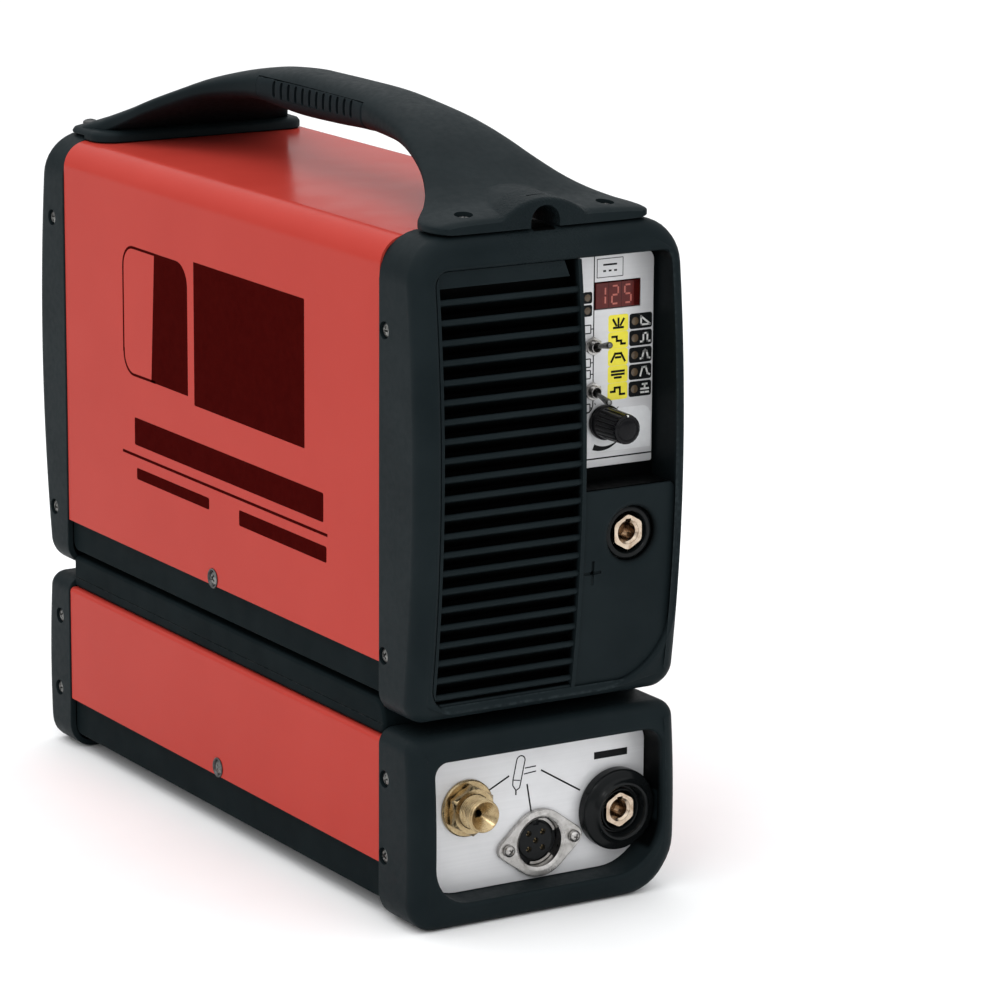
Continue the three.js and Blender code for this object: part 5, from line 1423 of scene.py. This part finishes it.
# ---------- connection plate ----------
def make_connection_plate():
    plate, gas = AT["connection_plate"], AT["gas_outlet_nut"]
    torch, negative = AT["torch_socket_insert"], AT["negative_socket_insert"]
    outline = lambda inset: rounded(*LOWER_MOUTH, 0.3 + inset, 10, 0)
    form = Form().slab(outline, [(0.15, plate.y0), (0, plate.y0 + 0.15), (0, plate.y1)])
    holes = Form()
    for at, radius in ((torch, 13.4), (negative, 13.4), (gas, 8.6)):
        holes.turned(rod(radius, *PLATE_CUT), at.x, at.z, 48)
    for node in TORCH_SCREWS:
        holes.turned(rod(1.8, *PLATE_CUT), AT[node].x, AT[node].z, 20)
    piece("connection_plate", form, "label_plate", replaces=["connection_plate"], cuts=holes, sharp=30)

    black = Form()
    for line in ([(-25.3, 59.8), (-11.8, 66.3)], [(-1.6, 60.7), (0.8, 46.7)], [(6.3, 66.6), (28.8, 53.0)]):
        stamp(black, ribbon(line, 0.85))
    stamp(black, [(36.7, 67.3), (55.9, 67.3), (55.9, 70.9), (36.7, 70.9)])
    # a torch seen from the side: a leaning capsule with a nozzle, a tip and two leads
    torch_body = [(-9.6, 63.9), (-7.6, 73.2)] + arc(-5.2, 73.1, 2.4, 180, 0, 8) + [(-5.4, 61.2)]
    nozzle = [(-9.6, 63.9), (-9.7, 61.2), (-7.9, 58.4), (-5.9, 59.4), (-5.4, 61.2)]
    collar, tip = [(-9.6, 63.9), (-5.5, 63.1)], [(-7.9, 58.6), (-7.9, 56.1)]
    leads = ([(-2.9, 68.9), (3.4, 69.1)], [(-3.4, 66.0), (3.5, 66.5)])
    for line in (torch_body, nozzle, *leads):
        draw(black, line, 0.6)
    draw(black, collar, 0.5)
    draw(black, tip, 0.8)
    piece("connection_print", black, "print_black")


# ---------- decals on the cover ----------
def make_decals():
    """Plain maroon fields and bars in place of marks and lettering."""
    skin = AT["upper_cover"].x1
    for side, word in ((-1, "left"), (1, "right")):
        fields = [
            rounded(-91.5, 23.0, 217.5, 291.0, [0.5] * 4, 0, 2, 0),
            ribbon([(101.5, 232), (101.5, 277)] + arc(90.5, 277, 11, 0, 90, 8) + [(66, 288)], 1.4),
            ribbon([(66, 221.5)] + arc(90.5, 232, 10.7, -90, 0, 8) + [(101.2, 234)], 1.4),
            [(30.0, 221.0), (70.5, 221.0), (66.0, 288.6)] + arc(42, 276.6, 12, 90, 180, 8),
            rounded(-110, 90, 184.5, 199.0, [1] * 4, 0, 3, 0),
            ribbon([(104, 178.8), (-114, 178.8)], 1.5),
            rounded(8, 88, 166.5, 172.5, [1] * 4, 0, 3, 0),
            rounded(-113, -24, 165.0, 173.0, [1] * 4, 0, 3, 0),
        ]
        form = Form()
        for outline in fields:
            form.plank(lambda inset: outline, [(0, side * (skin - 0.02)), (0, side * (skin + INK))])
        piece("decal_" + word, form, "maroon_film")


# ---------- sheet parts ----------
def side_walls(form, outline, half):
    """Two upright sheets with an outline in YZ, their outer faces at half and -half."""
    for side in (-1, 1):
        form.plank(outline, [(0.5, side * half), (0, side * (half - 0.5)), (0, side * (half - 1.4))])


def make_sheet_parts():
    box = AT["upper_chassis"]
    rear = UPPER_REAR.y0 - JOINT_GAP
    outline = lambda inset: rounded(box.y0 + 12.1, rear, box.z0, 145, [1, 5, 1, 1], inset, 12, 0)
    form = Form()
    side_walls(form, outline, box.x1)
    inner = box.x1 - 1.2
    form.block(-inner, inner, box.y0 + 12.5, rear - 3, box.z0 + 0.2, box.z0 + 1.7, 0.3)
    for y0, x0, x1, z0, z1 in ((-164.9, -62, 66, 116, 318), (153.5, -60.5, 60.5, 125, 306)):
        outer = lambda inset: rounded(-box.x1, box.x1, box.z0 + 0.5, box.z1, [4, 4, 12, 12], inset, 6, 6)
        inside = rounded(x0, x1, z0, z1, [3] * 4, 0, 6, 6)
        rings = [outer(0), outer(0), inside, inside]
        depths = (y0 + 1.5, y0, y0, y0 + 1.5)
        form.skin([[(x, y, z) for x, z in ring] for ring, y in zip(rings, depths)], loop=True)
    for side in (-1, 1):
        x0, x1 = sorted((side * box.x1, side * (box.x1 - 1.5)))
        form.block(x0, x1, box.y0, -164, 120, 306, 0.3)
    cuts = Form()
    for y, z in FRONT_SCREWS[:2]:
        cuts.add(Form().turned(rod(2.4, -90, 90), 0, 0, 20), laid_across(y, z))
    piece("chassis", form, "black_steel", replaces=["upper_chassis"], cuts=cuts, sharp=35)

    box = AT["lower_tray"]
    rear = LOWER_REAR.y0 - JOINT_GAP
    outline = lambda inset: rounded(box.y0, rear, box.z0, box.z1, [1, 5, 1, 1], inset, 12, 0)
    form = Form()
    side_walls(form, outline, box.x1)
    form.block(-inner, inner, box.y0 + 3, rear - 3, box.z0 + 0.2, box.z0 + 1.7, 0.3)
    piece("base_tray", form, "black_steel", replaces=["lower_tray"], sharp=35)

    box = AT["lower_deck"]
    outline = lambda inset: rounded(box.y0, rear, box.z0, box.z1, [5, 2, 3, 9], inset, 8, 0)
    levels = [(2 - dz, 2 - dx - box.x1) for dx, dz in arc(0, 0, 2, 0, 90, 3)]
    levels += [(inset, -x) for inset, x in levels[::-1]]
    form = Form().plank(outline, levels)
    hollow = Form().block(-box.x1 + 1.5, box.x1 - 1.5, -162.7, rear - 1.5, 60, box.z1 - 1.5, 1.0)
    for side in (-1, 1):
        x0, x1 = sorted((side * (box.x1 - 0.35), side * 80))
        hollow.block(x0, x1, -200, 200, 96.2, 96.9, 0.1)
    piece("top_deck", form, "black_steel", replaces=["lower_deck"], cuts=hollow, sharp=35)


# ---------- rear ----------
BLADES = 7
BLADE_ROOT, BLADE_TIP = 18.5, 54.3


def blade_rings(middle, z):
    """Sections of one fan blade from root to tip: swept, cambered, and flatter towards the tip."""
    rings = []
    for radius in evenly(BLADE_ROOT, BLADE_TIP, 10):
        share = (radius - BLADE_ROOT) / (BLADE_TIP - BLADE_ROOT)
        pitch = math.radians(mix(47, 33, share))
        chord = mix(11.0, 12.6, share)
        thick = mix(1.3, 0.7, share)
        section = []
        for u, side in [(t, 1) for t in evenly(-1, 1, 6)] + [(t, -1) for t in evenly(1, -1, 6)[1:-1]]:
            bow = 1.6 * (1 - u * u)
            across = thick * side * (1 - u * u) ** 0.5 * 0.9 + bow + 0.05 * side
            along = u * chord
            x = along * math.sin(pitch) + across * math.cos(pitch)
            y = middle - along * math.cos(pitch) * 0.8 + across * math.sin(pitch) * 0.5
            a = 0.16 * share + x / radius
            section.append((radius * math.sin(a), y, z + radius * math.cos(a)))
        rings.append(section)
    return rings


def make_fan():
    box, guard = AT["fan_frame"], AT["fan_guard"]
    z, front = box.z, box.y0
    outer = lambda inset: rounded(box.x0, box.x1, box.z0, box.z1, [6] * 4, inset, 6, 8)
    turns = [math.atan2(pz - z, px) for px, pz in outer(0)]
    bore = lambda radius: [(radius * math.cos(a), z + radius * math.sin(a)) for a in turns]
    rings = [(outer(0), box.y1), (outer(0), front + 0.5), (outer(0.5), front), (bore(58), front),
             (bore(57), front + 1), (bore(57), box.y1 - 1), (bore(57.8), box.y1), (outer(0.4), box.y1)]
    form = Form().skin([[(px, y, pz) for px, pz in points] for points, y in rings], loop=True)
    form.turned([(0, front), (19, front), (19, front + 7.5), (18.5, front + 8), (0, front + 8)], 0, z, 64)
    form.turned(rod(2, front + 7, front + 20), 0, z, 24)
    axis = Matrix.Translation((0, 0, z))
    for k in range(3):
        strut = Form().block(-2.2, 2.2, front + 0.2, front + 4, 17, 58, 0.6)
        form.add(strut, axis @ Matrix.Rotation(math.radians(120 * k + 15), 4, "Y"))
    piece("fan_frame", form, "socket_plastic", replaces=["fan_frame"])

    hub = [(2.15, front + 9), (19.4, front + 9), (20, front + 9.6), (20, front + 31),
           (19, front + 32), (6, front + 32), (5.4, front + 31.6), (2.15, front + 31.6)]
    form = Form().tube(hub, 0, z, 72)
    rings = blade_rings(front + 22, z)
    for k in range(BLADES):
        turn = Matrix.Rotation(2 * math.pi * k / BLADES, 4, "Y")
        form.add(Form().skin(rings), axis @ turn @ Matrix.Translation((0, 0, -z)))
    piece("fan_rotor", form, "socket_plastic", "fan", ["fan_rotor"], sharp=50)

    form = Form()
    for radius in evenly(13, 53.0, 8):
        points = [(px, guard.y1 - 1.15, pz) for px, pz in circle(0, z, radius, 96)]
        form.wire(points, 1.05, 10, loop=True)
    disc = [(0.01, guard.y1 - 2.6), (13, guard.y1 - 2.6), (13, guard.y1 - 1.4), (0.01, guard.y1 - 1.4)]
    form.tube(disc, 0, z, 48)
    for angle in (45, 135, 225, 315):
        a = math.radians(angle)
        spoke = ((10, 1.3), (54, 1.3), (57, 1.25), (61.5, 1.2))
        points = [(r * math.cos(a), guard.y0 + lift, z + r * math.sin(a)) for r, lift in spoke]
        form.wire(points, 1.1, 10)
    piece("fan_guard", form, "bright_steel", replaces=["fan_guard"], sharp=50)


ROCKER_PIVOT = 181.5  # y of the axis that the mains rocker tilts about


def make_mains_switch():
    """A framed well with a rocker whose marks are a bar and a ring."""
    box = AT["power_switch_housing"]
    x, z = box.x, box.z
    flange = lambda inset: rounded(box.x0, box.x1, box.z0, box.z1, [2] * 4, inset, 5, 2)
    shell = lambda inset: rounded(box.x0 + 2, box.x1 - 2, box.z0 + 2, box.z1 - 2, [1] * 4, inset, 5, 2)
    well = lambda inset: rounded(x - 11.6, x + 11.6, z - 7.6, z + 7.6, [0.8] * 4, inset, 5, 2)
    rings = [(well(0), 172), (well(0), box.y1 - 0.5), (well(-0.5), box.y1), (flange(1.0), box.y1),
             (flange(0.3), box.y1 - 0.3), (flange(0), box.y1 - 1), (flange(0), FLOOR + 0.3),
             (shell(0), FLOOR + 0.3), (shell(0), box.y0), (well(0), box.y0)]
    form = Form().skin([[(px, y, pz) for px, pz in points] for points, y in rings], loop=True)
    form.block(x - 11.8, x + 11.8, box.y0, 172, z - 7.8, z + 7.8, 0.3)
    piece("switch_housing", form, "socket_plastic", replaces=["power_switch_housing"])

    across = [(-10.9, -1.3), (-10.7, -1.7), (-5, -5.0), (0, -7.5), (5, -5.0), (10.7, -1.7), (10.9, -1.3),
              (10.7, 3.0), (10.3, 3.3), (5, 2.2), (0, 1.8), (-5, 2.2), (-10.3, 3.3), (-10.7, 3.0)]
    shrink = lambda inset: [(px * (1 - inset / 11), py * (1 - inset / 11)) for px, py in across]
    form = Form().tile(shrink, [(0.5, -7), (0.15, -6.8), (0, -6.4), (0, 6.4), (0.15, 6.8), (0.5, 7)])
    tilt = Matrix.Translation((x, ROCKER_PIVOT, z)) @ Matrix.Rotation(math.radians(10), 4, "Z")
    form.moved(tilt)
    piece("rocker", form, "socket_plastic", "mains_rocker", ["power_rocker"], sharp=30)
    bar = Form().block(-0.35, 0.35, -0.05, 0.1, -2.2, 2.2, 0.02)
    circlet = Form().tube([(1.5, -0.05), (2.1, -0.05), (2.1, 0.1), (1.5, 0.1)], 0, 0, 32)
    marks = Form()
    for side, mark in ((-1, bar), (1, circlet)):
        marks.add(mark, Matrix.Translation((side * 7.4, 2.7, 0)) @ Matrix.Rotation(side * 0.205, 4, "Z"))
    marks.moved(tilt)
    piece("rocker_marks", marks, "print_white", "mains_rocker")


def make_cable_gland():
    body, nut = AT["gland_body"], AT["gland_dome_nut"]
    form = Form().hexagon(24, FLOOR + 0.3, 184.5, body.x, body.z, 0.8)
    join = Form().turned([(0, 166), (9.8, 166), (10, 166.4), (10, 191.8), (0, 191.8)], body.x, body.z, 48)
    bore = Form().turned(rod(5, 160, 200), body.x, body.z, 40)
    piece("gland_body_seen", form, "socket_plastic", replaces=["gland_body"], join=join, cuts=bore)
    rows = [(10.4, 185.2), (11.6, 184.9, 0.4), (11.95, 185.4, 0.8), (11.95, 193.2, 0.8),
            (11.5, 194.4, 0.4), (10.4, 196.6), (8.8, 198.6), (7.6, 199.0), (5.6, 198.9),
            (5.05, 198.2), (5.05, 192.6), (10.4, 192.4)]
    rings = [fluted(nut, row, 12, 3, 120) for row in rows]
    piece("gland_nut", Form().skin(rings, loop=True), "socket_plastic", replaces=["gland_dome_nut"], sharp=40)


def make_gas_inlet():
    """A hose tail with three barbs on a hexagonal bush."""
    inlet = AT["gas_inlet"]
    form = Form().hexagon(17, FLOOR + 0.3, 185, inlet.x, inlet.z, 0.9)
    barbs = [(0, 184), (4.4, 184), (4.4, 188)]
    for y in (188.5, 191.3, 194.1):
        barbs += [(4.95, y), (4.0, y + 2.4)]
    join = Form().turned(barbs + [(3.9, 197), (0, 197)], inlet.x, inlet.z, 40)
    shank = [(0, 152), (3.4, 152), (4.2, 155), (4.2, 166), (6.5, 166), (6.5, 181), (0, 181)]
    stem = Form().turned(shank, inlet.x, inlet.z, 40)
    bore = Form().turned(rod(2.2, 140, 210), inlet.x, inlet.z, 24)
    made = link("gas_inlet_seen", mesh_of(form, "gas_inlet_seen"))
    combine(made, join, "UNION")
    combine(made, stem, "UNION")
    combine(made, bore, "DIFFERENCE")
    finish_piece(made, "brass", "machine", ["gas_inlet"], 30)


# ---------- the run ----------
make_materials()
make_camera()
make_light()
make_floor()
make_bezels()
make_covers()
make_sheet_parts()
make_louvre()
make_socket_panel()
make_control_plate()
make_knob()
make_toggles()
make_positive_socket()
make_connection_plate()
make_gas_outlet()
make_torch_socket()
make_negative_socket()
make_handle()
make_grip()
make_screws()
make_decals()
make_fan()
make_mains_switch()
make_cable_gland()
make_gas_inlet()
material_slots = {row["node"]: row["material_slot"] for row in frame["record"]["subparts"]}
for node, made in frame["nodes"].items():
    made.data.materials.clear()
    made.data.materials.append(MATERIALS[material_slots[node]])
